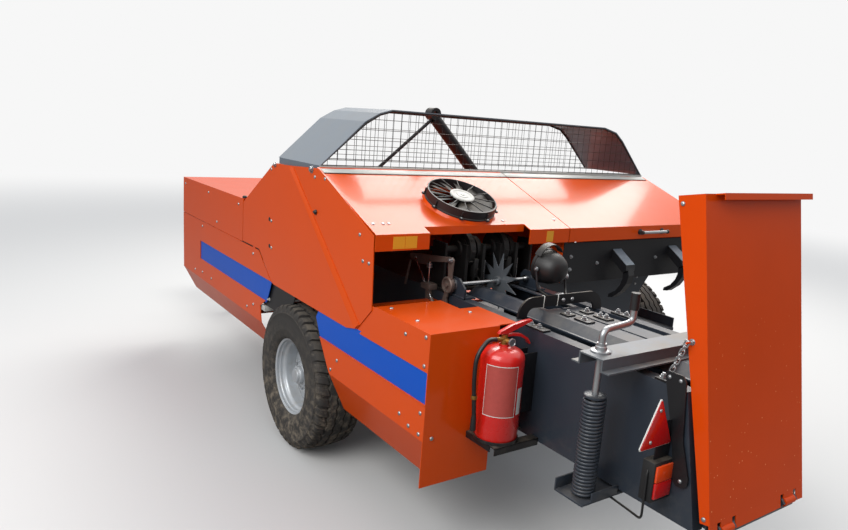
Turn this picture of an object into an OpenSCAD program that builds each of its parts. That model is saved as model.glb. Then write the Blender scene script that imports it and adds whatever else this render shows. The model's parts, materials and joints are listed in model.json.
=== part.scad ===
// Square baler, towed, as parked: wheels and drawbar jack on the ground.
// +Y is the direction of travel, +X is to the right, +Z is up.
// Inside each module x is measured from the left side skins, y from the wheel axle, z from the ground.

/* [Overall] */
// Distance between the centre planes of the two wheels
wheel_track = 2390; // [2300:10:2500]
// Axle to the rear end of the raised chute
rear_reach = 2130; // [2100:10:2200]
// Axle to the front of the towing eye
front_reach = 3430; // [3200:10:3700]
// Thickness of the sheet-metal covers
sheet = 4; // [3:0.5:6]
// Gap left between two pieces that seat on each other
seat = 0.3; // [0.1:0.1:0.5]
// Running gap round pins and shafts
running = 0.3; // [0.2:0.1:0.5]

/* [Wheels] */
// Outside diameter of the tyres
tyre_d = 760; // [740:5:780]
// Width of the tyres
tyre_w = 264; // [240:2:270]
// How far the left tyre stands outside the side skins
tyre_proud = 30; // [10:5:50]
// Bead seat diameter of the rims
rim_d = 389; // [380:1:400]
// Outside diameter of the rim flanges
flange_d = 424; // [415:1:440]
// Width of the rims
rim_w = 225; // [200:5:230]
// Diameter of the wheel spindles
spindle_d = 44; // [36:1:50]

/* [Bale chamber] */
// Width of the bale
bale_w = 460; // [440:5:480]
// Height of the bale
bale_h = 360; // [340:5:370]
// Thickness of the chamber's side walls
wall = 48; // [40:1:52]
// Left face of the chamber, from the left side skins
chamber_x = 428; // [420:1:440]
// Underside of the chamber, from the ground
chamber_z = 530; // [525:1:540]
// Thickness of the chamber's floor and top rails
chamber_floor = 35; // [30:1:40]
// Axle to the rear end of the chamber
chamber_rear = 1975; // [1850:5:1980]
// Axle to the front end of the chamber
chamber_front = 1250; // [1150:10:1280]

/* [Side covers] */
// Height of the front box's top
box_top = 1207; // [1190:1:1230]
// Height of the seam between the front lid and the skirt
seam_z = 955; // [940:1:970]
// Front end of the front box
box_front = 1985; // [1950:5:2020]
// Rear end of the front lid
lid_rear = 757; // [750:1:780]
// Width of the front box
box_w = 1040; // [1030:5:1080]
// Lower edge of the coloured stripe
stripe_z = 687; // [680:1:700]
// Height of the coloured stripe
stripe_h = 126; // [110:1:135]
// Fold between the upright skirt and its slanted foot
fold_z = 550; // [520:5:560]
// Lower edge of the slanted foot
foot_z = 385; // [360:5:420]
// How far the slanted foot comes in
foot_in = 88; // [60:2:110]

/* [Hoods] */
// Height of the hoods' upper edge
hood_z = 1470; // [1450:5:1480]
// Behind the axle: upper edge of the hoods
hood_y = 212; // [205:1:230]
// Behind the axle: rear lip of the hoods
lip_y = 765; // [740:5:790]
// Height of the top of the rear lip
lip_z = 1255; // [1240:5:1270]
// Depth of the rear lip
lip_h = 70; // [60:2:80]
// Seam between the left and the right hood
hood_seam = 1118; // [1100:2:1140]
// Gap between the hoods and the right tyre
hood_gap = 35; // [25:1:45]
// Height of the cage's top bar
cage_top = 1765; // [1740:5:1785]
// Cage depth in front of the axle
cage_front = 300; // [280:5:305]

/* [Fan] */
// Outside diameter of the cooling fan's ring
fan_d = 340; // [320:5:350]
// Depth of the fan's ring
fan_h = 46; // [44:1:60]
// Blades of the fan
fan_blades = 12; // [8:1:14]

/* [Chute] */
// Width of the bale chute
chute_w = 542; // [520:2:555]
// Length of the bale chute
chute_len = 1040; // [980:5:1060]
// Lean of the raised chute towards the machine, degrees
chute_lean = 10.5; // [9:0.5:11]
// Depth of the chute's side flanges at the top
chute_flange = 90; // [70:5:95]

/* [Pick-up] */
// Height of the reel's shaft
reel_z = 420; // [410:5:440]
// In front of the axle: the reel's shaft
reel_y = 625; // [622:1:640]
// Radius to the tips of the tines
tine_tip_r = 262; // [250:1:264]
// Tine bars round the reel
tine_bars = 4; // [3:1:5]
// Tines along each bar
tines = 18; // [10:1:18]
// Radius of the stripper bands
band_r = 208; // [200:1:215]

/* [Drawbar] */
// Diameter of the towing eye's hole
eye_d = 50; // [30:1:52]
// Thickness of the towing eye
eye_t = 40; // [30:1:45]
// In front of the axle: the drawbar's pivot
pivot_y = 1400; // [1380:5:1420]
// In front of the axle: the parking jack
jack_y = 2500; // [2400:10:2600]
// Diameter of the flywheel
flywheel_d = 520; // [480:5:540]

/* [Hidden] */
$fn = 48;

orange = [0.80, 0.27, 0.06];
anthracite = [0.17, 0.19, 0.22];
black = [0.06, 0.06, 0.07];
steel = [0.62, 0.63, 0.63];
blue = [0.02, 0.32, 0.74];
rubber = [0.07, 0.07, 0.07];

axle_y = (rear_reach - front_reach) / 2;
skin_x = tyre_proud - (wheel_track + tyre_w) / 2;
axle_z = tyre_d / 2;
left_x = tyre_w / 2 - tyre_proud;
right_x = left_x + wheel_track;
hood_right = right_x - tyre_w / 2 - hood_gap;

chamber_w = bale_w + 2 * wall;
chamber_right = chamber_x + chamber_w;
chamber_top = chamber_z + bale_h + 2 * chamber_floor;
mid_x = chamber_x + chamber_w / 2;

// Puts a module's own frame, skins and axle, at its place round the part's origin.
module placed() {
    translate([skin_x, axle_y, 0]) children();
}

// A solid whose outline is drawn in y and z and runs from x0 to x1.
module along_x(x0, x1) {
    translate([x0, 0, 0]) rotate([90, 0, 90]) linear_extrude(x1 - x0) children();
}

// A solid whose outline is drawn in x and z and runs from y0 to y1.
module along_y(y0, y1) {
    translate([0, y1, 0]) rotate([90, 0, 0]) linear_extrude(y1 - y0) children();
}

// A box from its lowest to its highest corner.
module box(low, high) {
    translate(low) cube(high - low);
}

// A round bar from point p to point q.
module bar(p, q, r, sides = 24) {
    run = q - p;
    translate(p) rotate([0, acos(run[2] / norm(run)), atan2(run[1], run[0])])
        cylinder(r = r, h = norm(run), $fn = sides);
}

// A round bar through a list of points.
module bent_bar(points, r, sides = 16) {
    for (i = [0 : len(points) - 2]) bar(points[i], points[i + 1], r, sides);
    for (i = [1 : len(points) - 2]) translate(points[i]) sphere(r = r + 0.6, $fn = 24);
}

// A disc or a hole across the machine.
module disc_x(x0, x1, y, z, r, sides = 48) {
    translate([x0, y, z]) rotate([0, 90, 0]) cylinder(r = r, h = x1 - x0, $fn = sides);
}

/* Wheels */

bead_d = rim_d + 2 * seat;
crown_square = 0.62;
hub_r = 58;
hub_in = 112;
disc_at = 8;
rim_wall = 7;
axle_half = 40;

// Outline of the tyre as [radius, across]: a rounded square section that ends at the bead.
function tyre_section() = [
    for (a = [-60 : 37.5 : 240])
        let (mid_r = (tyre_d + bead_d) / 4, half_h = (tyre_d - bead_d) / 4)
        [max(bead_d / 2, mid_r + half_h * sign(sin(a)) * pow(abs(sin(a)), 0.75)),
         tyre_w / 2 * sign(cos(a)) * pow(abs(cos(a)), crown_square)]
];

// Puts a wheel's own axis across the machine, its outer side away from the machine.
module on_wheel(x, side) {
    translate([x, 0, axle_z]) rotate([0, 90 * side, 0]) children();
}

module tyre() {
    rotate_extrude($fn = 96) polygon(tyre_section());
}

module rim() {
    bead_r = rim_d / 2;
    well_r = bead_r - 20;
    half = rim_w / 2;
    barrel = [[flange_d / 2, -half], [bead_r, -half + 10], [bead_r - 2, -half + 45], [well_r, -half + 62],
              [well_r, half - 62], [bead_r - 2, half - 45], [bead_r, half - 10], [flange_d / 2, half]];
    inner = [for (i = [len(barrel) - 1 : -1 : 0]) [barrel[i][0] - rim_wall, barrel[i][1]]];
    rotate_extrude($fn = 96) polygon(concat(barrel, inner));
    difference() {
        union() {
            rotate_extrude($fn = 96) polygon([[30, disc_at + 26], [70, disc_at + 26], [105, disc_at + 6],
                [well_r - rim_wall + 1, disc_at - 4], [well_r - rim_wall + 1, disc_at - 12], [100, disc_at - 4],
                [66, disc_at + 14], [30, disc_at + 14]]);
            translate([0, 0, -hub_in]) cylinder(r = hub_r, h = hub_in + disc_at + 30);
            translate([0, 0, disc_at + 28]) cylinder(r1 = 46, r2 = 34, h = 46);
        }
        translate([0, 0, -hub_in - 1]) cylinder(d = spindle_d + 2 * running, h = hub_in + disc_at + 52);
        for (a = [0 : 45 : 315]) rotate(a) translate([133, 0, disc_at - 30])
            scale([0.55, 1, 1]) cylinder(r = 24, h = 60);
    }
    for (a = [22.5 : 60 : 360]) rotate(a) translate([84, 0, disc_at + 10]) cylinder(r = 12, h = 22, $fn = 6);
}

module left_tyre() color(rubber) placed() on_wheel(left_x, -1) tyre();
module right_tyre() color(rubber) placed() on_wheel(right_x, 1) tyre();
module left_rim() color(steel) placed() on_wheel(left_x, -1) rim();
module right_rim() color(steel) placed() on_wheel(right_x, 1) rim();

/* Frame */

beam_left = left_x + hub_in + 6;
beam_right = right_x - hub_in - 6;
rail_w = 60;
rail_inset = 12;
rails_rear = -520;
rail_z = 450;
rail_h = chamber_z - rail_z - seat;
ear_drop = 72;
post_x = [chamber_x + rail_inset, chamber_right - rail_inset - rail_w];
pickup_pin_y = 402;
pickup_pin_z = 478;
pickup_pin_r = 15;
plate_left = chamber_right + 16;
plate_right = hood_right - 16;
plate_t = 6;
arm_right = plate_right - 12;

module main_frame() color(anthracite) placed() {
    // axle beam with its spindles
    box([beam_left, -axle_half, axle_z - axle_half], [beam_right, axle_half, axle_z + axle_half]);
    for (end = [[beam_left, -1], [beam_right, 1]])
        translate([end[0], 0, axle_z]) rotate([0, 90 * end[1], 0]) {
            cylinder(r = hub_r - 8, h = 5);
            cylinder(d = spindle_d, h = hub_in + disc_at + 50);
        }
    // two rails under the chamber, on saddles over the axle beam
    for (x = post_x) {
        box([x, rails_rear, rail_z], [x + rail_w, pivot_y + 60, rail_z + rail_h]);
        box([x, -axle_half, axle_z + axle_half - 1], [x + rail_w, axle_half, rail_z + 1]);
    }
    // drawbar pivot ears between the rails
    for (z = [rail_z - ear_drop, rail_z + 32])
        difference() {
            box([post_x[0] + rail_w - 1, pivot_y - 90, z], [post_x[1] + 1, pivot_y + 60, z + 25]);
            translate([mid_x, pivot_y, z - 1]) cylinder(r = 20 + running, h = 27);
        }
    for (x = post_x) box([x, pivot_y - 90, rail_z - ear_drop], [x + rail_w, pivot_y + 60, rail_z + 1]);
    // arm and pin on each side that carry the pick-up
    box([arm_right - 38, -axle_half, rail_z - 12], [arm_right, pickup_pin_y + 28, rail_z + 50]);
    box([arm_right - 38, -axle_half, axle_z + axle_half - 1], [arm_right, axle_half, rail_z]);
    disc_x(arm_right - 1, plate_right + plate_t + 6, pickup_pin_y, pickup_pin_z, pickup_pin_r);
    disc_x(post_x[1] + rail_w - 1, plate_left + plate_t + 6, pickup_pin_y, pickup_pin_z, pickup_pin_r);
}

/* Bale chamber */

rail_top_w = 52;
slot_w = 16;
window_y1 = -560;
feed_y0 = -540;
feed_y1 = 300;
needle_x = [mid_x - 102, mid_x + 102];

module bale_chamber() color(anthracite) placed() {
    inner_x0 = chamber_x + wall;
    inner_x1 = chamber_right - wall;
    z0 = chamber_z + chamber_floor;
    z1 = z0 + bale_h;
    difference() {
        along_y(-chamber_rear, chamber_front) difference() {
            translate([chamber_x, chamber_z]) square([chamber_w, chamber_top - chamber_z]);
            translate([inner_x0, z0]) square([bale_w, bale_h]);
        }
        // open top between the side rails, for the density rails and the knotters
        box([chamber_x + rail_top_w, -chamber_rear - 1, z1 - 1], [chamber_right - rail_top_w, window_y1, chamber_top + 1]);
        // slots in the floor for the needles
        for (x = needle_x) box([x - slot_w, needle_y - needle_r - 60, chamber_z - 1],
            [x + slot_w, needle_y - needle_r + 100, z0 + 1]);
        // feed opening in the right wall
        box([inner_x1 - 1, feed_y0, z0], [chamber_right + 1, feed_y1, z1 + 1]);
    }
    // pin on which the needles swing
    disc_x(chamber_x - 44, chamber_x + 1, needle_y, needle_z, needle_pin_r);
    // ears and pins for the chute
    for (x = knuckle_x) {
        for (side = [x - 12, x + knuckle_w + 2])
            along_x(side, side + 10) polygon([[1 - chamber_rear, chamber_z], [hinge_y, hinge_z - knuckle_r],
                [hinge_y - knuckle_r + 2, hinge_z], [hinge_y, hinge_z + knuckle_r], [1 - chamber_rear, chamber_z + 34]]);
        disc_x(x - 12, x + knuckle_w + 12, hinge_y, hinge_z, hinge_pin_r);
    }
}

density_y0 = -chamber_rear;
density_y1 = -700;
density_wide_y = -1150;
density_h = 25;

// One half of the pressing rail: a foot, a slanted web and a flat top that ends at x1.
module density_half(x, x1) {
    polygon([[x, chamber_top - 12], [x + 16, chamber_top - 12], [x + 62, chamber_top + density_h - 6],
             [x1, chamber_top + density_h - 6], [x1, chamber_top + density_h],
             [x + 58, chamber_top + density_h], [x + 12, chamber_top - 6], [x, chamber_top - 6]]);
}

// Wide under the press beam, narrow where the star wheel and the knotters stand.
module density_rails() color(anthracite) placed() {
    foot_x = chamber_x + rail_top_w + 68;
    for (part = [[density_y0, density_wide_y, mid_x - 7], [density_wide_y - 1, density_y1, foot_x + 84]])
        along_y(part[0], part[1]) {
            density_half(foot_x, part[2]);
            translate([2 * mid_x, 0]) mirror([1, 0]) density_half(foot_x, part[2]);
        }
}

module plunger() color(anthracite) placed()
    box([chamber_x + wall + 3, feed_y1 + 20, chamber_z + chamber_floor + seat],
        [chamber_right - wall - 3, feed_y1 + 480, chamber_top - chamber_floor - 3]);

module gearbox() color(anthracite) placed() {
    box([mid_x - 150, gear_y0, chamber_z + 10], [mid_x + 150, gear_y1, shaft_z + 210]);
    box([post_x[0], gear_y0, chamber_z], [post_x[1] + rail_w, gear_y0 + 140, chamber_z + 40]);
    translate([mid_x, gear_y1 - 1, shaft_z]) rotate([-90, 0, 0]) difference() {
        cylinder(r = 70, h = 40);
        translate([0, 0, 5]) cylinder(r = 25 + running, h = 40);
    }
}

/* Drive */

shaft_z = 770;
gear_y0 = 1300;
gear_y1 = 1560;
fly_y = gear_y1 + 80;
pto_r = 17.5;
pto_len = 75;

module flywheel() color(orange) placed() translate([mid_x, 0, shaft_z]) {
    translate([0, fly_y, 0]) rotate([-90, 0, 0]) {
        rotate_extrude($fn = 96) polygon([[0, 0], [70, 0], [70, 22], [flywheel_d / 2 - 60, 30], [flywheel_d / 2 - 60, 0],
            [flywheel_d / 2, 0], [flywheel_d / 2, 80], [flywheel_d / 2 - 60, 80], [flywheel_d / 2 - 60, 45],
            [70, 38], [70, 60], [0, 60]]);
        cylinder(r = 28, h = 210);
        cylinder(r = pto_r, h = 210 + pto_len);
    }
    translate([0, gear_y1 + 6, 0]) rotate([-90, 0, 0]) cylinder(r = 25, h = fly_y - gear_y1);
}

/* Side covers */

lid_knuckle_r = 8;
lid_knuckle_w = 80;
lid_knuckles = [900, 1700];
lid_axis_x = box_w - lid_knuckle_r;
lid_axis_z = box_top - lid_knuckle_r;

module front_skirt() color(orange) placed() {
    stripe_top = stripe_z + stripe_h;
    window_front = 1570;
    along_x(0, sheet) polygon([[box_front, seam_z - 5], [500, seam_z - 5], [310, stripe_top], [window_front, stripe_top],
        [window_front, stripe_z], [380, stripe_z], [455, 640], [430, fold_z], [box_front - 14, fold_z]]);
    along_y(430, 1960) polygon([[0, fold_z + 0.5], [sheet, fold_z + 0.5], [foot_in + sheet, foot_z], [foot_in, foot_z]]);
    // outriggers from the left skirt to the chamber's wall
    for (y = [560, 880, 1190]) {
        box([sheet - 0.5, y, fold_z + 10], [chamber_x - seat, y + 40, fold_z + 50]);
        box([sheet - 0.5, y, fold_z + 10], [sheet + 30, y + 40, stripe_z - 30]);
    }
    // right side of the front box
    along_x(box_w - sheet, box_w) polygon([[box_front, box_top - 16], [lid_rear, box_top - 16], [lid_rear, 700],
        [box_front - 14, 620]]);
    // brackets from the right skirt to the frame rail
    for (y = [1000, 1300]) {
        box([post_x[1] + rail_w + seat, y, rail_z + 20], [box_w - sheet + 0.5, y + 40, rail_z + 60]);
        box([box_w - sheet - 8, y, rail_z + 20], [box_w - sheet + 0.5, y + 40, 760]);
    }
    // hinge knuckles and pins of the lid
    for (y = lid_knuckles) {
        for (k = [y - 50 - 1, y + lid_knuckle_w + 1]) {
            translate([lid_axis_x, k, lid_axis_z]) rotate([-90, 0, 0]) cylinder(r = lid_knuckle_r, h = 50);
            box([lid_axis_x, k, box_top - 18], [box_w, k + 50, lid_axis_z]);
        }
        translate([lid_axis_x, y - 50, lid_axis_z]) rotate([-90, 0, 0]) cylinder(r = 4, h = lid_knuckle_w + 100);
    }
}

module side_panel() color(orange) placed() {
    y1 = lid_rear - 7;
    stripe_top = stripe_z + stripe_h;
    along_x(0, sheet) polygon([[y1, seam_z + 4], [y1, box_top - 17], [311, hood_z - 19], [92, hood_z - 13],
        [-hood_y - 12, hood_z + 3], [10 - lip_y, lip_z - 6], [-lip_y - 5, seam_z - 16], [-655, stripe_top + 13],
        [-560, stripe_top - 8], [269, stripe_top - 7], [300, stripe_top - 1], [488, seam_z + 4]]);
    // raised band across the panel
    along_x(-3, 0.5) polygon([[98, hood_z - 20], [60, hood_z - 19], [-678, stripe_top + 38],
        [-648, stripe_top + 13]]);
    // upright posts behind the panel
    for (post = [[-640, 1285, 860], [-60, deck_z - sheet - seat, 860], [560, 1240, seam_z + 8]]) {
        y = post[0];
        box([sheet + seat, y, 860], [sheet + 36, y + 36, post[1]]);
        box([sheet - 0.5, y, post[2]], [sheet + 1, y + 36, post[1]]);
        box([sheet + 35, y, 880], [chamber_x - seat, y + 36, 916]);
    }
}

module rear_box() color(orange) placed() {
    stripe_top = stripe_z + stripe_h;
    rear = -1200;
    inner_x = 330;
    z_top = 962;
    along_x(0, sheet) difference() {
        polygon([[-236, 800], [-307, 682], [-401, 560], [-420, fold_z - 10], [rear, fold_z - 10], [rear, z_top], [-800, z_top],
            [-800, 930], [-668, 800]]);
        translate([rear - 1, stripe_z]) square([2000, stripe_h]);
    }
    box([0, rear, stripe_top - 1], [sheet, -690, stripe_top + 1]);
    along_y(rear, -420) polygon([[0, fold_z - 9.5], [sheet, fold_z - 9.5], [foot_in + sheet, foot_z - 35], [foot_in, foot_z - 35]]);
    box([0, rear, foot_z - 35], [inner_x, rear + sheet, z_top]);
    box([inner_x - sheet, rear, foot_z - 35], [inner_x, -820, z_top]);
    box([0, rear, z_top - sheet], [inner_x, -800, z_top]);
    box([inner_x - 1, rear + 10, z_top - sheet], [chamber_x - seat, -940, z_top]);
}

module blue_stripes() color(blue) placed() {
    skin = sheet + seat;
    lap = 12;
    stripe_top = stripe_z + stripe_h;
    along_x(skin, skin + 3) polygon([[1590, stripe_top - 1 + lap], [332, stripe_top - 1 + lap], [308, stripe_top - 6],
        [366, stripe_z], [382, stripe_z - lap], [1590, stripe_z - lap]]);
    along_x(skin, skin + 3) polygon([[-700, stripe_top + lap], [-1190, stripe_top + lap], [-1190, stripe_z - lap],
        [-330, stripe_z - lap], [-300, stripe_z], [-250, 770], [-280, stripe_top]]);
}

module front_lid() color(orange) placed() {
    difference() {
        union() {
            box([0, lid_rear, seam_z], [lid_axis_x - 9, box_front, box_top]);
            for (y = lid_knuckles) {
                translate([lid_axis_x, y, lid_axis_z]) rotate([-90, 0, 0]) cylinder(r = lid_knuckle_r, h = lid_knuckle_w);
                box([lid_axis_x - 10, y, box_top - sheet], [lid_axis_x, y + lid_knuckle_w, box_top]);
            }
        }
        box([sheet, lid_rear - 1, seam_z - 1], [lid_axis_x - 8.5, box_front - sheet, box_top - sheet]);
        for (y = lid_knuckles) translate([lid_axis_x, y - 1, lid_axis_z]) rotate([-90, 0, 0])
            cylinder(r = 4 + running, h = lid_knuckle_w + 2);
    }
}

/* Hoods */

hood_slope = (hood_z - lip_z) / (lip_y - hood_y);
hood_tilt = atan(hood_slope);
notch_x0 = 272;
notch_x1 = 852;
notch_y = 716;

function hood_height(y) = hood_z - (-y - hood_y) * hood_slope;

// Section of a hood from its upper edge at y0: the slope, then an upright lip.
module hood_section(y0, y_lip, drop) {
    z = hood_height(-y_lip);
    polygon([[y0, hood_height(y0)], [-y_lip, z], [-y_lip, z - drop], [-y_lip + sheet, z - drop],
        [-y_lip + sheet, z - sheet], [y0, hood_height(y0) - sheet]]);
}

fan_x = 578;
fan_y = -548;
fan_lift = 16;

// Puts a piece on the slope of the hood, its own z square to the sheet.
module on_hood(x, y, lift) {
    translate([x, y, hood_height(y)]) rotate([hood_tilt, 0, 0]) translate([0, 0, lift]) children();
}

module left_hood() color(orange) placed() {
    difference() {
        union() {
            along_x(sheet + seat, notch_x0) hood_section(rail_y0 - seat, lip_y, lip_h);
            along_x(notch_x0 - 1, notch_x1 + 1) hood_section(rail_y0 - seat, notch_y, 36);
            along_x(notch_x1, hood_seam - 3) hood_section(rail_y0 - seat, lip_y, lip_h);
            on_hood(fan_x, fan_y, -2) cylinder(r1 = fan_d / 2 + 10, r2 = fan_d / 2 + 2, h = fan_lift);
        }
        on_hood(fan_x, fan_y, -60) cylinder(r = fan_d / 2 - 30, h = 120);
    }
}

module fan_ring() color(black) placed() on_hood(fan_x, fan_y, fan_lift - 2 + seat) {
    difference() {
        cylinder(d = fan_d, h = fan_h, $fn = 96);
        translate([0, 0, -1]) cylinder(d = fan_d - 12, h = fan_h + 2, $fn = 96);
    }
    for (a = [45, 135]) rotate(a) difference() {
        translate([-fan_d / 2 + 4, -8, 2]) cube([fan_d - 8, 16, 5]);
        translate([-28, -20, 0]) cube([56, 40, 10]);
    }
    difference() {
        translate([0, 0, 2]) cylinder(r = 34, h = 5);
        cylinder(r = 8 + running, h = 20);
    }
}

module fan_rotor() color(black) placed() on_hood(fan_x, fan_y, fan_lift - 2 + seat) {
    cylinder(r = 8, h = 20);
    translate([0, 0, 12]) cylinder(r = 40, h = 26);
    for (i = [0 : fan_blades - 1]) rotate(i * 360 / fan_blades) translate([34, 0, 26]) rotate([28, 0, 0])
        translate([0, -2, -13]) cube([fan_d / 2 - 6 - 8 - 34, 4, 26]);
}

module right_hood() color(orange) placed() {
    difference() {
        union() {
            along_x(hood_seam + 3, hood_right) hood_section(-hood_y, lip_y, lip_h);
            for (x = hood_knuckles) {
                disc_x(x, x + hood_knuckle_w, hood_axis_y, hood_axis_z, hood_knuckle_r);
            }
        }
        for (x = hood_knuckles) {
            disc_x(x - 1, x + hood_knuckle_w + 1, hood_axis_y, hood_axis_z, 3.5 + running);
            // room for the fixed knuckles on both sides
            for (x0 = [x - 36, x + hood_knuckle_w + 0.5])
                box([x0, -hood_y - 16, hood_z - 40], [x0 + 35.5, -hood_y + 1, hood_z + 1]);
        }
    }
}

module hood_handle() color(steel) placed() {
    y = -lip_y - 30;
    z = lip_z - 32;
    disc_x(1640, 1850, y, z, 8);
    for (x = [1650, 1832]) box([x, y, z - 6], [x + 8, -lip_y - seat, z + 6]);
}

/* Upper body */

rail_y0 = -196;
cage_x1 = hood_right;

hood_knuckle_r = 7;
hood_knuckle_w = 100;
hood_knuckles = [hood_seam + 60, hood_right - 220];
hood_axis_y = 3 - hood_y;
hood_axis_z = hood_z - 4;
deck_z = hood_z - 20;

module hood_rail() color(steel) placed() {
    // knuckles and pins of the right hood
    for (x = hood_knuckles) {
        for (k = [x - 31, x + hood_knuckle_w + 1]) {
            disc_x(k, k + 30, hood_axis_y, hood_axis_z, hood_knuckle_r);
            box([k, hood_axis_y, hood_axis_z - 4], [k + 30, rail_y0 + 1, hood_axis_z + 4]);
        }
        disc_x(x - 30, x + hood_knuckle_w + 30, hood_axis_y, hood_axis_z, 3.5);
    }
    along_x(20, cage_x1) polygon([[rail_y0, hood_z], [rail_y0, hood_z + 12], [-150, hood_z + 12], [-150, hood_z + 8],
        [rail_y0 + 4, hood_z + 8], [rail_y0 + 4, hood_z - 26], [rail_y0, hood_z - 26]]);
}

slope_y0 = 311;
slope_z1 = 1190;
guard_z0 = 965;

// Deck under the cage, the sloping cover over the plunger's track and the walls of the feeder's housing.
module upper_housing() color(orange) placed() {
    x1 = hood_right;
    wall_x = hood_seam - 10;
    wall_z0 = guard_z0 + 6 + seat;
    wall_y0 = rail_y0 + 4 + seat;
    front = cage_front - 4;
    under = sheet + 5;
    box([sheet + seat, wall_y0, deck_z - sheet], [x1, front, deck_z]);
    along_x(sheet + seat, wall_x + sheet) polygon([[front - 1, deck_z], [slope_y0, deck_z], [750, slope_z1], [750, slope_z1 - sheet],
        [slope_y0, deck_z - sheet], [front - 1, deck_z - sheet]]);
    under_rail = [[-hood_y - 20, hood_height(-hood_y - 20) - under], [-hood_y - 20, hood_z - 28], [wall_y0, hood_z - 28]];
    box([sheet + seat, front - sheet, chamber_top + 5], [x1, front, deck_z - 1]);
    along_x(wall_x, wall_x + sheet) polygon(concat([[wall_y0, deck_z - 1], [slope_y0, deck_z - 1], [749, slope_z1 - 1],
        [749, wall_z0], [-740, wall_z0], [-740, hood_height(-740) - under]], under_rail));
    along_x(x1 - sheet, x1) polygon(concat([[wall_y0, deck_z - 1], [front, deck_z - 1], [front, 700], [0, 760],
        [-120, 900], [-730, 960], [-730, lip_z - lip_h - 6], [-640, hood_height(-640) - under]], under_rail));
}

// Outline of the cage's end: up, a rounded shoulder and along the top.
cage_z0 = hood_z + 12 + seat;
function cage_outline(t) = [
    [20 + t, cage_z0], [250 + 0.6 * t, cage_top - 65 - 0.8 * t], [330 + 0.4 * t, cage_top - 20 - 0.9 * t], [400, cage_top - t],
    [cage_x1 - 395, cage_top - t], [cage_x1 - 285 - 0.4 * t, cage_top - 25 - 0.9 * t],
    [cage_x1 - 215 - 0.7 * t, cage_top - 75 - 0.7 * t], [cage_x1 - 1.4 * t, cage_z0]
];

module cage_sheets() color(black) placed() {
    t = 5;
    difference() {
        along_y(rail_y0 + 6, cage_front) polygon(cage_outline(0));
        along_y(rail_y0 + 5, cage_front + 1) polygon(concat([[20 + t, cage_z0 - 1]], cage_outline(t), [[cage_x1 - 1.4 * t, cage_z0 - 1]]));
        box([400, rail_y0 + 50, hood_z], [cage_x1 - 395, cage_front - 50, cage_top + 1]);
    }
}

mesh_pitch = 50;
wire = 3;

module cage_mesh() color(black) placed() {
    y = rail_y0 + 8;
    intersection() {
        along_y(y, y + wire) polygon(cage_outline(5 + seat));
        union() {
            for (x = [40 : mesh_pitch : cage_x1]) box([x, y - 1, hood_z], [x + wire, y + wire + 1, cage_top]);
            for (z = [cage_z0 : mesh_pitch : cage_top]) box([0, y - 1, z], [cage_x1, y + wire + 1, z + wire]);
        }
    }
}

module feeder_lever() color(black) placed() difference() {
    union() {
        bar([830, 60, 1740], [1140, 60, hood_z - 25], 32);
        disc_y([815, 30, 1765], 60, 34);
        bar([810, 60, 1735], [470, 60, hood_z - 22], 9);
    }
    disc_y([815, 20, 1765], 80, 16);
    box([400, 0, 1300], [1300, 120, deck_z + seat]);
}

// A disc whose axis lies along the machine.
module disc_y(p, h, r) {
    translate(p) rotate([-90, 0, 0]) cylinder(r = r, h = h);
}

/* Feeding */

deck_y0 = -600;
deck_y1 = 330;

module feed_deck() color(anthracite) placed() {
    z = chamber_z + chamber_floor;
    x1 = hood_right - sheet - seat;
    wall_top = guard_z0 + 6;
    box([chamber_right + seat, deck_y0, z - 20], [x1, deck_y1, z]);
    along_y(deck_y0, deck_y0 + 6) polygon([[chamber_right + 20, z - 1], [x1 - 390, z - 1], [x1 - 390, wall_top - 140],
        [x1 - 280, wall_top], [chamber_right + 20, wall_top]]);
    for (x = [chamber_right + 316, hood_right - 225]) box([x, -axle_half, axle_z + axle_half + seat], [x + 60, axle_half, z - 19]);
    box([x1 - sheet, deck_y0 + 5, z - 1], [x1, 200, z + 60]);
}

module rear_guard() color(black) placed() {
    x1 = hood_right - 125;
    box([hood_seam + 12, -lip_y + 20, guard_z0], [x1, -lip_y + 26, lip_z - lip_h - 9]);
    box([hood_seam + 12, -lip_y + 25, guard_z0], [x1, deck_y0 - seat, guard_z0 + 6]);
}

tine_x = [1474, 1944];
tine_arm_w = 70;
tine_hook_w = 42;

// One feeder tine seen from the side: a slanted arm and a hook that curves forward under it.
module feeder_tines() color(black) placed()
    for (x = tine_x) {
        y = -lip_y + 20 - seat;
        inset = (tine_arm_w - tine_hook_w) / 2;
        along_x(x, x + tine_arm_w)
            polygon([[y, 1130], [y, 1080], [y - 82, 1022], [y - 108, 1036], [y - 102, 1062]]);
        along_x(x + inset, x + inset + tine_hook_w) polygon([[y - 106, 1046], [y - 117, 1010], [y - 107, 965],
            [y - 75, 915], [y - 26, 874], [y + 3, 868], [y, 886], [y - 40, 912], [y - 67, 950], [y - 79, 990], [y - 77, 1032]]);
    }

/* Knotters */

star_x = mid_x;
star_y = -735;
star_z = 1010;
star_r = 137;
star_teeth = 11;
bracket_left = 436;
bracket_right = 890;
knot_y = -610;
knot_z = 1145;

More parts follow.
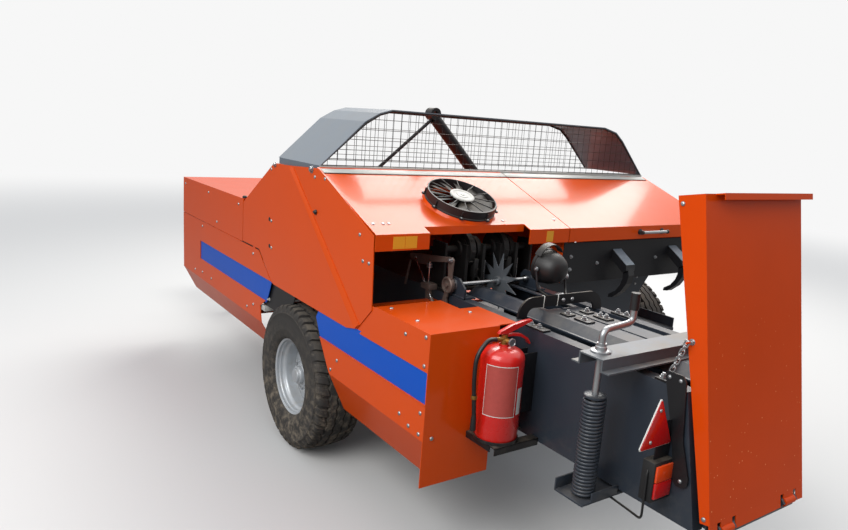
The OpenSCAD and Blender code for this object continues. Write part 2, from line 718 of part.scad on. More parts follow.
module knotters() color(black) placed() {
    z = chamber_top + seat;
    difference() {
        box([chamber_x, knot_y - 74, z], [chamber_right, knot_y + 70, z + 14]);
        for (x = needle_x) box([x - slot_w, knot_y - 62, z - 1], [x + slot_w, knot_y + 10, z + 15]);
        box([star_x - 25, knot_y - 75, z - 1], [star_x + 25, knot_y + 16, z + 15]);
    }
    for (x = needle_x) {
        disc_x(x - 45, x - 15, knot_y, knot_z, 85);
        disc_x(x + 15, x + 40, knot_y, knot_z, 60);
        box([x - 60, knot_y - 70, z], [x - 44, knot_y + 50, knot_z + 30]);
        box([x + 39, knot_y - 70, z], [x + 55, knot_y + 50, knot_z + 30]);
    }
    disc_x(chamber_x + 20, chamber_right - 20, knot_y, knot_z, 18);
    for (x = [chamber_x + 10, chamber_right - 22]) box([x, knot_y - 50, z], [x + 12, knot_y + 50, knot_z + 40]);
}

module star_brackets() color(anthracite) placed() {
    for (x = [bracket_left, bracket_right]) difference() {
        union() {
            box([x, star_y - 50, chamber_top + seat], [x + 10, star_y + 50, star_z]);
            disc_x(x, x + 10, star_y, star_z, 42);
            box([x - 4, star_y - 50, chamber_top + seat], [x + 64, star_y + 50, chamber_top + 10]);
        }
        disc_x(x - 1, x + 11, star_y, star_z, 10 + running);
    }
}

module star_wheel() color(steel) placed() {
    disc_x(bracket_left - 12, bracket_right + 22, star_y, star_z, 10);
    translate([star_x, star_y, star_z]) rotate([90, 0, 90]) linear_extrude(5) polygon([
        for (i = [0 : 2 * star_teeth - 1])
            let (a = i * 180 / star_teeth, r = i % 2 == 0 ? star_r : 0.55 * star_r) r * [cos(a), sin(a)]
    ]);
    disc_x(star_x - 14, star_x + 19, star_y, star_z, 22);
}

/* Lamp, arch and density gear */

arch_y = -1150;
arch_left = 452;
arch_right = chamber_right - 22;
lamp_x = mid_x - 6;
lamp_z = 1143;

module arch_bar() color(black) placed() {
    z0 = chamber_top + seat;
    z1 = 1050;
    along_y(arch_y, arch_y + 10) difference() {
        polygon([[arch_left, z0], [arch_left, z0 + 14], [arch_left + 120, z1 - 8], [arch_left + 140, z1], [arch_right - 104, z1],
            [arch_right - 90, z1 - 6], [arch_right, z0 + 14], [arch_right, z0]]);
        polygon([[arch_left + 40, z0 - 1], [arch_left + 146, z1 - 42], [arch_right - 112, z1 - 42],
            [arch_right - 40, z0 - 1]]);
    }
}

module work_lamp() color(black) placed() {
    translate([lamp_x, arch_y + 70, lamp_z]) rotate([-84, 0, 0]) scale([1, 1.25, 1])
        rotate_extrude() polygon([[0, -62], [30, -58], [56, -38], [70, -5], [76, 35], [76, 48], [0, 48]]);
    box([lamp_x - 30, arch_y + 10 + seat, 1014], [lamp_x + 30, arch_y + 16, 1075]);
    box([lamp_x - 10, arch_y + 12, 1060], [lamp_x + 10, arch_y + 60, 1096]);
}

beam_y0 = -1820;
beam_y1 = -1660;
screw_x = 305;
screw_y = -1725;
beam_z = chamber_top + density_h + seat;
beam_h = 42;
screw_x2 = 2 * mid_x - screw_x;
screw_r = 14;

// The hat-section beam that presses the density rails.
module tension_beam() color(anthracite) placed()
    difference() {
        along_x(screw_x - 62, screw_x2 + 62) polygon([[beam_y0, beam_z], [beam_y0, beam_z + 5], [beam_y0 + 30, beam_z + 5],
            [beam_y0 + 30, beam_z + beam_h], [beam_y1 - 30, beam_z + beam_h], [beam_y1 - 30, beam_z + 5], [beam_y1, beam_z + 5],
            [beam_y1, beam_z], [beam_y1 - 36, beam_z], [beam_y1 - 36, beam_z + beam_h - 5], [beam_y0 + 36, beam_z + beam_h - 5],
            [beam_y0 + 36, beam_z]]);
        for (x = [screw_x, screw_x2]) translate([x, screw_y, beam_z]) cylinder(r = screw_r + running, h = 80);
    }

spring_z0 = 518;
spring_z1 = 870;
spring_r = 40;

module tension_screws() color(steel) placed() for (side = [[screw_x, 1], [screw_x2, -1]]) {
    x = side[0];
    z = beam_z + beam_h + seat;
    translate([x, screw_y, spring_z0 + 8]) cylinder(r = screw_r, h = z + 30 - spring_z0 - 8);
    translate([x, screw_y, z]) cylinder(r = 34, h = 7);
    translate([x, screw_y, spring_z1 + seat]) cylinder(r = spring_r - 4, h = 10);
    bent_bar([[x, screw_y, z + 20], [x, screw_y, z + 70], [x + side[1] * 85, screw_y - 5, z + 105],
        [x + side[1] * 120, screw_y - 8, z + 190]], 11);
}

module tension_springs() color(anthracite) placed() for (x = [screw_x, screw_x2]) translate([x, screw_y, spring_z0])
    difference() {
        cylinder(r = spring_r, h = spring_z1 - spring_z0);
        translate([0, 0, 8]) cylinder(r = screw_r + running, h = spring_z1 - spring_z0);
    }

module spring_brackets() color(anthracite) placed() {
    z = spring_z0 - seat;
    box([screw_x - 60, screw_y - 55, z - 8], [screw_x2 + 60, screw_y + 55, z]);
    box([screw_x - 60, screw_y - 55, z - 60], [screw_x2 + 60, screw_y - 47, z - 7]);
    for (x = [chamber_x + 40, chamber_right - 80]) box([x, screw_y - 40, z - 1], [x + 40, screw_y + 40, chamber_z - seat]);
}

/* Rear fittings */

ext_x = 290;
ext_y = -1290;
ext_z = 550;
ext_r = 82;

module extinguisher() color([0.7, 0.05, 0.04]) placed() {
    translate([ext_x, ext_y, ext_z]) rotate_extrude($fn = 64)
        polygon([[0, 0], [ext_r - 8, 0], [ext_r, 10], [ext_r, 300], [ext_r - 10, 322], [44, 343], [20, 350], [20, 383], [0, 383]]);
    box([ext_x - 14, ext_y - 14, ext_z + 382], [ext_x + 14, ext_y + 14, ext_z + 398]);
    box([ext_x - 10, ext_y - 8, ext_z + 394], [ext_x + 120, ext_y + 8, ext_z + 404]);
    box([ext_x - 50, ext_y - 85, ext_z - 10], [chamber_x - seat, ext_y + 40, ext_z - seat]);
}

fitting_y = 30 - chamber_rear;

// The same fitting on the left and the right wall of the chamber.
module on_both_walls() {
    children();
    translate([2 * mid_x, 0, 0]) mirror([1, 0, 0]) children();
}

module reflectors() color([0.75, 0.04, 0.03]) placed() on_both_walls() {
    along_y(fitting_y - 5, fitting_y)
        polygon([[chamber_x - 166, 786], [chamber_x - 10, 786], [chamber_x - 88, 944]]);
    box([chamber_x - 110, fitting_y - 1, 790], [chamber_x - seat, fitting_y + 4, 830]);
}

module tail_lamps() color(black) placed() on_both_walls()
    box([chamber_x - 93, fitting_y - 25, 560], [chamber_x - seat, fitting_y + 55, 735]);

knuckle_r = 14;
knuckle_w = 60;
hinge_pin_r = 8;
hinge_y = knuckle_r - rear_reach;
hinge_z = 545;
chute_x0 = mid_x - chute_w / 2;
chute_x1 = mid_x + chute_w / 2;
peg_y = 48;
knuckle_x = [chute_x0 + 60, chute_x1 - 60 - knuckle_w];

// Puts a piece in the raised chute's own frame: z along the tray, y towards the machine.
module on_chute() {
    translate([0, hinge_y, hinge_z]) rotate([-chute_lean, 0, 0]) children();
}

module chute() color(orange) placed() on_chute() {
    box([chute_x0, -sheet, 30], [chute_x1, 0, chute_len]);
    for (x = [chute_x0, chute_x1 - sheet]) along_x(x, x + sheet)
        polygon([[-sheet, 30], [30, 30], [chute_flange, chute_len], [-sheet, chute_len]]);
    box([chute_x0 + 50, -34, chute_len - sheet], [chute_x1 + 15, 0, chute_len]);
    // peg for the chain
    disc_x(chute_x0 - peg_reach, chute_x0 + 1, peg_y, peg_z, peg_r);
    for (x = knuckle_x) difference() {
        union() {
            disc_x(x, x + knuckle_w, 0, 0, knuckle_r);
            box([x, -sheet, 0], [x + knuckle_w, 0, 40]);
        }
        disc_x(x - 1, x + knuckle_w + 1, 0, 0, hinge_pin_r + running);
    }
}

link_r = 11;
link_wire = 3;
link_count = 7;
link_step = 2 * (link_r - link_wire) - 1.5;
peg_r = 3;
peg_z = 590;
peg_reach = 2 * (link_r + link_wire) + 2;

// Point of the raised chute, from its own y and z, in the machine's frame.
function chute_at(y, z) = [
    hinge_y + y * cos(chute_lean) + z * sin(chute_lean), hinge_z - y * sin(chute_lean) + z * cos(chute_lean)
];

// Links, each turned a quarter from the last, hanging on the peg of the chute's left flange.
module chute_chain() color(steel) placed() {
    peg = chute_at(peg_y, peg_z);
    for (i = [0 : link_count - 1])
        translate([chute_x0 - peg_reach / 2, peg[0], peg[1] - (link_r - link_wire - peg_r - 0.5) - i * link_step])
            rotate(i % 2 == 0 ? [0, 90, 0] : [90, 0, 0]) difference() {
                cylinder(r = link_r + link_wire, h = 4, center = true, $fn = 12);
                cylinder(r = link_r - link_wire, h = 6, center = true, $fn = 12);
            }
}

/* Needles */

needle_y = -200;
needle_z = chamber_z + chamber_floor + bale_h / 2;
needle_r = 500;
needle_pin_r = 16;

needle_root = 280;
needle_arc = 70;

// Point of the needles' circle, at an angle from the direction of travel.
function needle_at(a) = [needle_y + needle_r * cos(a), needle_z + needle_r * sin(a)];

// Two curved needles on one circle round their pivot, on a cross tube with one arm.
module needles() color(steel) placed() {
    foot = needle_at(needle_root);
    for (x = needle_x) translate([x - 6, needle_y, needle_z]) rotate([90, 0, 90])
        rotate_extrude(angle = needle_arc, start = needle_root - needle_arc, $fn = 96)
            translate([needle_r - 12, 0]) square([24, 12]);
    disc_x(chamber_x - 34, needle_x[1] + 20, foot[0], foot[1], 22);
    along_x(chamber_x - 34, chamber_x - 20) difference() {
        union() {
            translate([needle_y, needle_z]) circle(r = 40);
            translate(foot) circle(r = 32);
            polygon([[needle_y - 38, needle_z], [needle_y + 38, needle_z], foot + [30, 0], foot - [30, 0]]);
        }
        translate([needle_y, needle_z]) circle(r = needle_pin_r + running);
    }
}

/* Drawbar */

bar_z0 = 409;
bar_z1 = 469;

module drawbar() color(anthracite) placed() {
    eye_y = front_reach - eye_d;
    difference() {
        union() {
            box([mid_x - 45, pivot_y + 70, bar_z0], [mid_x + 45, front_reach - eye_d - 60, bar_z1]);
            box([mid_x - 40, pivot_y - 20, rail_z - ear_drop + 28], [mid_x + 40, pivot_y + 80, rail_z + 29]);
            translate([mid_x, eye_y, (bar_z0 + bar_z1 - eye_t) / 2]) cylinder(r = eye_d, h = eye_t);
            box([mid_x - 35, eye_y - 70, (bar_z0 + bar_z1 - eye_t) / 2], [mid_x + 35, eye_y - 30, (bar_z0 + bar_z1 + eye_t) / 2]);
        }
        translate([mid_x, eye_y, 0]) cylinder(d = eye_d, h = 1000);
    }
    translate([mid_x, pivot_y, rail_z - 75]) cylinder(r = 20, h = 140);
}

module parking_jack() color(black) placed() {
    x = mid_x - 45 - 40;
    translate([x, jack_y, 0]) {
        cylinder(r = 85, h = 10);
        cylinder(r = 22, h = 300);
        translate([0, 0, 220]) cylinder(r = 32, h = 480);
        translate([0, 0, 700]) cylinder(r = 12, h = 30);
        bent_bar([[0, 0, 724], [0, -120, 724], [0, -120, 790]], 9);
    }
    box([x + 28, jack_y - 45, bar_z0], [mid_x - 45 - seat, jack_y + 45, bar_z1]);
}

/* Pick-up */

reel_x0 = 1060;
reel_x1 = plate_right - 69;
bar_r = 150;
tine_pitch = (reel_x1 - reel_x0 - 40) / (tines - 1);

module pickup_reel() color([0.7, 0.5, 0.08]) placed() translate([0, reel_y, reel_z]) {
    disc_x(plate_left - 10, plate_right + plate_t + 10, 0, 0, 18);
    for (x = [reel_x0 - 20, reel_x1 + 12]) disc_x(x, x + 8, 0, 0, bar_r + 20);
    for (k = [0 : tine_bars - 1]) rotate([k * 360 / tine_bars + 20, 0, 0]) {
        disc_x(reel_x0 - 16, reel_x1 + 16, bar_r, 0, 14, 12);
        for (i = [0 : tines - 1]) translate([reel_x0 + 20 + i * tine_pitch, bar_r, 0]) rotate([-90, 0, 0])
            cylinder(r = 4, h = tine_tip_r - bar_r, $fn = 6);
    }
}

band_w = 40;
band_start = -140;
band_end = 110;
guard_y = 372;
guard_z = 860;
guard_pin_r = 10;
rear_bar_y = 343;

// Outline of a stripper band: an arc round the reel with a tail to each rear bar.
module band_outline() {
    difference() {
        translate([reel_y, reel_z]) circle(r = band_r + 3, $fn = 96);
        translate([reel_y, reel_z]) circle(r = band_r, $fn = 96);
        translate([reel_y, reel_z]) polygon([[0, 0], 400 * [cos(band_end), sin(band_end)], [-500, 300], [-500, -300],
            400 * [cos(band_start), sin(band_start)]]);
    }
    for (tail = [[band_end, reel_z + 150], [band_start, reel_z - 128]]) {
        p = [reel_y, reel_z] + (band_r + 1.5) * [cos(tail[0]), sin(tail[0])];
        polygon([p + [0, 1.5], p - [0, 1.5], [rear_bar_y + 8, tail[1] - 1.5], [rear_bar_y + 8, tail[1] + 1.5]]);
    }
}

module pickup_frame() color(orange) placed() {
    // side plates with bores for the hinge pins, the reel's shaft and the wind guard
    for (x = [plate_left, plate_right]) along_x(x, x + plate_t) difference() {
        polygon([[338, 270], [338, 890], [400, 890], [470, 690], [840, 560], [880, 420], [800, 240], [600, 220]]);
        translate([pickup_pin_y, pickup_pin_z]) circle(r = pickup_pin_r + running);
        translate([reel_y, reel_z]) circle(r = 18 + running);
        translate([guard_y, guard_z]) circle(r = guard_pin_r + running);
    }
    // curved stripper bands, one between each two rows of tines
    for (i = [0 : tines]) {
        x = reel_x0 + 20 + (i - 0.5) * tine_pitch;
        along_x(x - band_w / 2, x + band_w / 2) band_outline();
    }
    for (z = [reel_z + 150, reel_z - 128])
        box([plate_left + plate_t - 1, rear_bar_y - 4, z - 8], [plate_right + 1, rear_bar_y + 9, z + 8]);
    // axle of the gauge wheel
    disc_x(plate_right + 1, gauge_x + 80, gauge_y, gauge_z, gauge_axle_r);
    disc_x(plate_right + 1, gauge_x - 2, gauge_y, gauge_z, gauge_axle_r + 10);
}

module wind_guard() color(orange) placed() {
    disc_x(plate_left + plate_t + 6, plate_right - 6, guard_y, guard_z, 17);
    disc_x(plate_left - 6, plate_right + plate_t + 6, guard_y, guard_z, guard_pin_r);
    first_x = max(box_w, plate_left + plate_t + 34) + 20;
    pitch = (plate_right - 73 - first_x) / 8;
    for (i = [0 : 8]) {
        x = first_x + i * pitch;
        bar([x, guard_y, guard_z], [x, 640, 800], 6, 12);
        bar([x, 637, 802], [x, 960, 640], 6, 12);
    }
}

gauge_r = 160;
gauge_x = plate_right + 50;
gauge_y = 760;
gauge_z = 290;
gauge_axle_r = 12;

module gauge_wheel() color(rubber) placed() translate([gauge_x, gauge_y, gauge_z]) rotate([0, 90, 0])
    difference() {
        cylinder(r = gauge_r, h = 70);
        translate([0, 0, -1]) cylinder(r = gauge_axle_r + running, h = 72);
    }

bale_chamber();
density_rails();
main_frame();
feed_deck();
upper_housing();
plunger();
gearbox();
front_skirt();
side_panel();
rear_box();
blue_stripes();
left_hood();
hood_rail();
cage_sheets();
cage_mesh();
feeder_lever();
rear_guard();
feeder_tines();
knotters();
star_brackets();
arch_bar();
work_lamp();
tension_beam();
tension_screws();
tension_springs();
spring_brackets();
extinguisher();
reflectors();
tail_lamps();
fan_ring();
front_lid();
right_hood();
hood_handle();
fan_rotor();
star_wheel();
chute();
chute_chain();
flywheel();
needles();
drawbar();
parking_jack();
left_tyre();
left_rim();
right_tyre();
right_rim();
pickup_frame();
pickup_reel();
wind_guard();
gauge_wheel();
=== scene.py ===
"""Looks of a towed square baler, parked with its chute folded up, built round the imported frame."""
import json
import math

import bmesh
import bpy
from mathutils import Matrix, Vector


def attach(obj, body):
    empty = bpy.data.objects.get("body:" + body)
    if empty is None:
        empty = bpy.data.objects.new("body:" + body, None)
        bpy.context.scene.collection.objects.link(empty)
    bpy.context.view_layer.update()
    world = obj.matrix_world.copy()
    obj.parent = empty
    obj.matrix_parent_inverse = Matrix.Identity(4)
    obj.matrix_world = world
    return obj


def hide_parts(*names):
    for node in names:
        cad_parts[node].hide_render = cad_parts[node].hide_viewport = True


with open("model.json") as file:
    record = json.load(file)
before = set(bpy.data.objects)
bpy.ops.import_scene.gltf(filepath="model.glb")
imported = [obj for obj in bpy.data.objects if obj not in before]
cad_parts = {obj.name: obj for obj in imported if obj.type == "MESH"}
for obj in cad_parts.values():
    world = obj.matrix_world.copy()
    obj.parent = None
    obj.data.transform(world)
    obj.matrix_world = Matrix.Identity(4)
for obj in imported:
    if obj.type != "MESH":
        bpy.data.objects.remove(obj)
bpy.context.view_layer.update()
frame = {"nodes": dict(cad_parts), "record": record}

# Places are written from the left side skins, the wheel axle and the ground, then shifted to the frame.
SKIN_X, AXLE_Y = -1.297, -0.65


def at(x, y, z):
    """A place given from the skins, the axle and the ground, in the frame's metres."""
    return Vector((x + SKIN_X, y + AXLE_Y, z))


LEFT, RIGHT = Vector((-1, 0, 0)), Vector((1, 0, 0))
REAR, FRONT = Vector((0, -1, 0)), Vector((0, 1, 0))
UP = Vector((0, 0, 1))

# Colours and shader groups

SOCKET_KINDS = {"VALUE": "NodeSocketFloat", "RGBA": "NodeSocketColor", "VECTOR": "NodeSocketVector"}


def linear(*colour):
    """A colour as the eye reads it, turned into the light values that a shader takes."""
    return (*(c / 12.92 if c <= 0.04045 else ((c + 0.055) / 1.055) ** 2.4 for c in colour), 1.0)


class Wiring:
    """Adds and joins the nodes of one tree."""

    def __init__(self, tree):
        self.tree = tree

    def feed(self, node, sockets):
        """Gives each socket a value or another node's output."""
        for socket, value in sockets.items():
            if isinstance(value, bpy.types.NodeSocket):
                self.tree.links.new(value, node.inputs[socket])
            else:
                node.inputs[socket].default_value = value

    def add(self, kind, sockets=None, **settings):
        """A new node with its settings and what its sockets are given."""
        node = self.tree.nodes.new(kind)
        for name, value in settings.items():
            setattr(node, name, value)
        self.feed(node, sockets or {})
        return node

    def math(self, operation, *terms):
        """Result of a sum whose terms are numbers or outputs."""
        node = self.add("ShaderNodeMath", operation=operation, use_clamp=operation == "MULTIPLY_ADD")
        self.feed(node, dict(enumerate(terms)))
        return node.outputs[0]

    def product(self, first, *others):
        """Several masks multiplied."""
        for other in others:
            first = self.math("MULTIPLY", first, other)
        return first

    def place(self):
        """The piece's own place."""
        return self.add("ShaderNodeTexCoord").outputs["Object"]

    def part(self, vector, axis):
        """One part of a vector."""
        return self.add("ShaderNodeSeparateXYZ", {0: vector}).outputs[axis]

    def noise(self, scale, detail, roughness):
        """Noise over the piece's own place."""
        node = self.add("ShaderNodeTexNoise", {"Vector": self.place(), "Scale": scale})
        self.feed(node, {"Detail": detail, "Roughness": roughness})
        return node.outputs["Fac"]

    def steps(self, value, low, high):
        """Smooth step from 0 at low to 1 at high."""
        node = self.add("ShaderNodeMapRange", interpolation_type="SMOOTHSTEP")
        self.feed(node, {"Value": value, "From Min": low, "From Max": high})
        return node.outputs["Result"]

    def mix(self, mask, first, second):
        """Colour between two, by a mask."""
        return self.add("ShaderNodeMix", {0: mask, 6: first, 7: second}, data_type="RGBA").outputs[2]

    def group(self, tree, **sockets):
        """Outputs of a shared group."""
        return self.add("ShaderNodeGroup", sockets, node_tree=tree).outputs

    def put_out(self, **results):
        """Ends a group with its results under their names."""
        for name, output in results.items():
            kind = SOCKET_KINDS[output.type]
            self.tree.interface.new_socket(name=name, in_out="OUTPUT", socket_type=kind)
        self.add("NodeGroupOutput", results)
        return self.tree


def new_group(name, **inputs):
    """Wiring of a new shader group and what its sockets bring in."""
    tree = bpy.data.node_groups.new(name, "ShaderNodeTree")
    for socket, value in inputs.items():
        kind = SOCKET_KINDS["RGBA" if isinstance(value, tuple) else "VALUE"]
        tree.interface.new_socket(name=socket, in_out="INPUT", socket_type=kind).default_value = value
    wires = Wiring(tree)
    return wires, wires.add("NodeGroupInput").outputs


def make_worn_edges():
    """Mask that is high along outer edges, broken up by noise."""
    wires, given = new_group("worn_edges", Amount=0.5, Scale=30.0)
    soft = wires.add("ShaderNodeBevel", {"Radius": 0.0025}, samples=3).outputs["Normal"]
    plain = wires.add("ShaderNodeNewGeometry").outputs["Normal"]
    dot = wires.add("ShaderNodeVectorMath", {0: soft, 1: plain}, operation="DOT_PRODUCT").outputs["Value"]
    edge = wires.steps(wires.math("SUBTRACT", 1.0, dot), 0.01, 0.16)
    broken = wires.steps(wires.noise(given["Scale"], 4.0, 0.7), 0.48, 0.66)
    return wires.put_out(Mask=wires.product(edge, broken, given["Amount"]))


def make_dust_and_sheen():
    """Mask for upper faces, settled dust together with painted sheen, and for dust splashes that reach up
    from the ground.
    """
    wires, given = new_group("dust_and_sheen", Amount=0.5, Splash=0.3)
    normal = wires.add("ShaderNodeNewGeometry").outputs["Normal"]
    upward = wires.steps(wires.part(normal, "Z"), 0.25, 1.0)
    clouds = wires.steps(wires.noise(5.0, 6.0, 0.68), 0.36, 0.72)
    low = wires.steps(wires.part(wires.place(), "Z"), 0.75, 0.1)
    specks = wires.steps(wires.noise(22.0, 5.0, 0.75), 0.42, 0.7)
    # Upper faces made lighter: settled dust, and painted sheen that stands for the sky shining on tops.
    top_dust_and_sheen = wires.product(upward, clouds, given["Amount"])
    thrown = wires.product(low, specks, given["Splash"])
    return wires.put_out(Mask=wires.math("MAXIMUM", top_dust_and_sheen, thrown))


def make_fine_relief():
    """Normal of a fine uneven surface over a slow waviness, as on sprayed sheet or cast skin."""
    wires, given = new_group("fine_relief", Grain=400.0, Depth=0.1, Waves=0.1)
    normal = None
    for distance, strength, height in ((0.004, "Waves", wires.noise(3.2, 1.0, 0.4)),
                                       (0.0006, "Depth", wires.noise(given["Grain"], 3.0, 0.6))):
        bump = wires.add("ShaderNodeBump", {"Distance": distance, "Strength": given[strength],
                                            "Height": height})
        if normal is not None:
            wires.feed(bump, {"Normal": normal})
        normal = bump.outputs["Normal"]
    return wires.put_out(Normal=normal)


def make_shifting_tone():
    """A colour that drifts a little between a darker and a lighter tone."""
    wires, given = new_group("shifting_tone", Color=(0.5, 0.5, 0.5, 1.0), Spread=0.1, Scale=2.0)
    patches = wires.noise(given["Scale"], 5.0, 0.6)
    drift = wires.product(wires.math("SUBTRACT", patches, 0.5), given["Spread"])
    tone = wires.add("ShaderNodeHueSaturation", {"Color": given["Color"]})
    wires.feed(tone, {"Value": wires.math("ADD", 1.0, drift)})
    return wires.put_out(Color=tone.outputs["Color"], Patches=patches)


def make_paint_chips():
    """Small chips in sheet paint, thicker towards the ground."""
    wires, given = new_group("paint_chips", Amount=0.5, Scale=60.0)
    cells = wires.add("ShaderNodeTexVoronoi", {"Vector": wires.place(), "Scale": given["Scale"]}).outputs
    spots = wires.steps(cells["Distance"], 0.17, 0.1)
    chosen = wires.steps(wires.part(cells["Color"], "X"), 0.8, 0.86)
    low = wires.steps(wires.part(wires.place(), "Z"), 1.45, 0.75)
    return wires.put_out(Mask=wires.product(spots, chosen, low, given["Amount"]))


WORN_EDGES = make_worn_edges()
PAINT_CHIPS = make_paint_chips()
DUST_AND_SHEEN = make_dust_and_sheen()
FINE_RELIEF = make_fine_relief()
SHIFTING_TONE = make_shifting_tone()
# Pale colour for dust, also painted on upper faces as sheen.
DUST_AND_SHEEN_COLOUR = linear(0.6, 0.55, 0.48)
CHIP_COLOUR = linear(0.93, 0.62, 0.4)
COAT_ROUGHNESS = 0.12


def finish_of(name, colour, rough, metal=0.0, coat=0.0, wear=0.0, bare=(0.35, 0.34, 0.33), dust_sheen=0.3,
              splash=0.2, grain=400.0, depth=0.1, waves=0.0, spread=0.12, tone_scale=2.0, shine=0.5,
              chips=0.0):
    """A material: drifting colour, worn edges, chips, dust with painted sheen on upper faces, and relief
    over one Principled shader.
    """
    material = bpy.data.materials.new(name)
    material.use_nodes = True
    wires = Wiring(material.node_tree)
    tone = wires.group(SHIFTING_TONE, Color=linear(*colour), Spread=spread, Scale=tone_scale)
    shown = tone["Color"]
    roughness = wires.math("MULTIPLY_ADD", tone["Patches"], 0.16, rough - 0.08)
    if wear:
        worn = wires.group(WORN_EDGES, Amount=wear, Scale=40.0)["Mask"]
        shown = wires.mix(worn, shown, linear(*bare))
        roughness = wires.math("MULTIPLY_ADD", worn, 0.15, roughness)
    if chips:
        shown = wires.mix(wires.group(PAINT_CHIPS, Amount=chips)["Mask"], shown, CHIP_COLOUR)
    # Dust and painted sheen: a paler colour on upper faces, and dust splashes low down.
    dust_and_sheen_mask = wires.group(DUST_AND_SHEEN, Amount=dust_sheen, Splash=splash)["Mask"]
    wires.feed(material.node_tree.nodes["Principled BSDF"], {
        "Base Color": wires.mix(dust_and_sheen_mask, shown, DUST_AND_SHEEN_COLOUR),
        "Roughness": wires.math("MULTIPLY_ADD", dust_and_sheen_mask, 0.5, roughness),
        "Normal": wires.group(FINE_RELIEF, Grain=grain, Depth=depth, Waves=waves)["Normal"],
        "Metallic": metal, "Specular IOR Level": shine, "Coat Weight": coat,
        "Coat Roughness": COAT_ROUGHNESS})
    return material


ORANGE = finish_of("orange_paint", (0.805, 0.284, 0.04), 0.34, shine=0.1, coat=0.38, wear=0.35,
                   bare=(0.45, 0.22, 0.12), dust_sheen=0.07, splash=0.03, grain=900.0, depth=0.05, waves=0.35,
                   spread=0.1)
CHIPPED_ORANGE = finish_of("chipped_orange_paint", (0.805, 0.262, 0.02), 0.34, shine=0.06, coat=0.22,
                           wear=0.45, bare=(0.45, 0.22, 0.12), dust_sheen=0.05, splash=0.02, grain=900.0,
                           depth=0.05, waves=0.35, spread=0.22, tone_scale=2.6, chips=0.75)
BLUE = finish_of("blue_paint", (0.0, 0.3, 0.7), 0.4, shine=0.12, coat=0.3, dust_sheen=0.06, splash=0.04,
                 grain=900.0, depth=0.04, waves=0.2, spread=0.06)
ANTHRACITE = finish_of("anthracite_paint", (0.165, 0.19, 0.225), 0.36, shine=0.4, coat=0.12, wear=0.4,
                       bare=(0.4, 0.41, 0.42), dust_sheen=0.22, splash=0.2, grain=700.0, depth=0.08, waves=0.2)
BLACK = finish_of("black_paint", (0.085, 0.085, 0.095), 0.42, shine=0.35, coat=0.05, wear=0.4,
                  bare=(0.33, 0.33, 0.34), dust_sheen=0.35, splash=0.25, grain=700.0, depth=0.08)
BLACK_PLASTIC = finish_of("black_plastic", (0.085, 0.085, 0.09), 0.46, dust_sheen=0.25, splash=0.1, grain=1500.0,
                          depth=0.25)
ZINC = finish_of("zinc_plate", (0.66, 0.67, 0.68), 0.36, metal=0.9, dust_sheen=0.2, splash=0.2, grain=260.0,
                 depth=0.12, spread=0.35, tone_scale=14.0)
RIM_SILVER = finish_of("silver_paint", (0.69, 0.71, 0.73), 0.34, metal=0.35, coat=0.2, wear=0.25,
                       bare=(0.4, 0.36, 0.32), dust_sheen=0.3, splash=0.45, grain=800.0, depth=0.06)
TYRE_RUBBER = finish_of("tyre_rubber", (0.165, 0.155, 0.148), 0.82, dust_sheen=0.35, splash=0.55, grain=500.0,
                        depth=0.5, spread=0.5, tone_scale=7.0)
RED_PAINT = finish_of("red_paint", (0.8, 0.11, 0.085), 0.28, coat=0.5, wear=0.2, bare=(0.4, 0.3, 0.28),
                      dust_sheen=0.1, splash=0.06, grain=900.0, depth=0.04)
RED_LENS = finish_of("red_reflector", (0.75, 0.05, 0.05), 0.22, coat=0.6, dust_sheen=0.15, splash=0.2,
                     grain=300.0, depth=0.4)
CAST = finish_of("cast_iron", (0.065, 0.062, 0.062), 0.6, metal=0.2, wear=0.3, bare=(0.3, 0.28, 0.26),
                 dust_sheen=0.2, splash=0.2, grain=220.0, depth=0.5)
LIGHT_GREY = finish_of("light_grey_strip", (0.7, 0.7, 0.68), 0.45, wear=0.3, dust_sheen=0.3, splash=0.1,
                       grain=600.0, depth=0.08)
TINE_STEEL = finish_of("tine_steel", (0.52, 0.38, 0.15), 0.4, metal=0.5, wear=0.8, bare=(0.5, 0.48, 0.45),
                       dust_sheen=0.35, splash=0.4, grain=300.0, depth=0.15, spread=0.4, tone_scale=12.0)
LABEL = finish_of("yellow_label", (0.86, 0.6, 0.13), 0.42, dust_sheen=0.1, splash=0.0, grain=900.0, depth=0.03)
RUSTED = finish_of("rusted_steel", (0.44, 0.38, 0.35), 0.5, metal=0.4, wear=0.6, bare=(0.45, 0.42, 0.4),
                   dust_sheen=0.2, splash=0.1, grain=160.0, depth=0.5, spread=0.7, tone_scale=25.0)
WHITE_PLASTIC = finish_of("white_plastic", (0.82, 0.82, 0.8), 0.4, dust_sheen=0.1, splash=0.0, grain=900.0,
                          depth=0.05)
LENS_CLEAR = finish_of("lamp_glass", (0.7, 0.72, 0.74), 0.1, coat=1.0, dust_sheen=0.15, splash=0.0, grain=120.0,
                       depth=0.5)
BRASS = finish_of("aged_brass", (0.6, 0.45, 0.22), 0.35, metal=0.8, dust_sheen=0.1, splash=0.0, grain=300.0,
                  depth=0.1, spread=0.3, tone_scale=20.0)
POLISHED = finish_of("polished_steel", (0.78, 0.78, 0.78), 0.22, metal=1.0, dust_sheen=0.1, splash=0.0,
                     grain=400.0, depth=0.05, spread=0.15, tone_scale=10.0)
LABEL_RED = finish_of("faded_red_label", (0.66, 0.27, 0.24), 0.5, dust_sheen=0.1, splash=0.0, grain=900.0,
                      depth=0.03, spread=0.3, tone_scale=60.0)
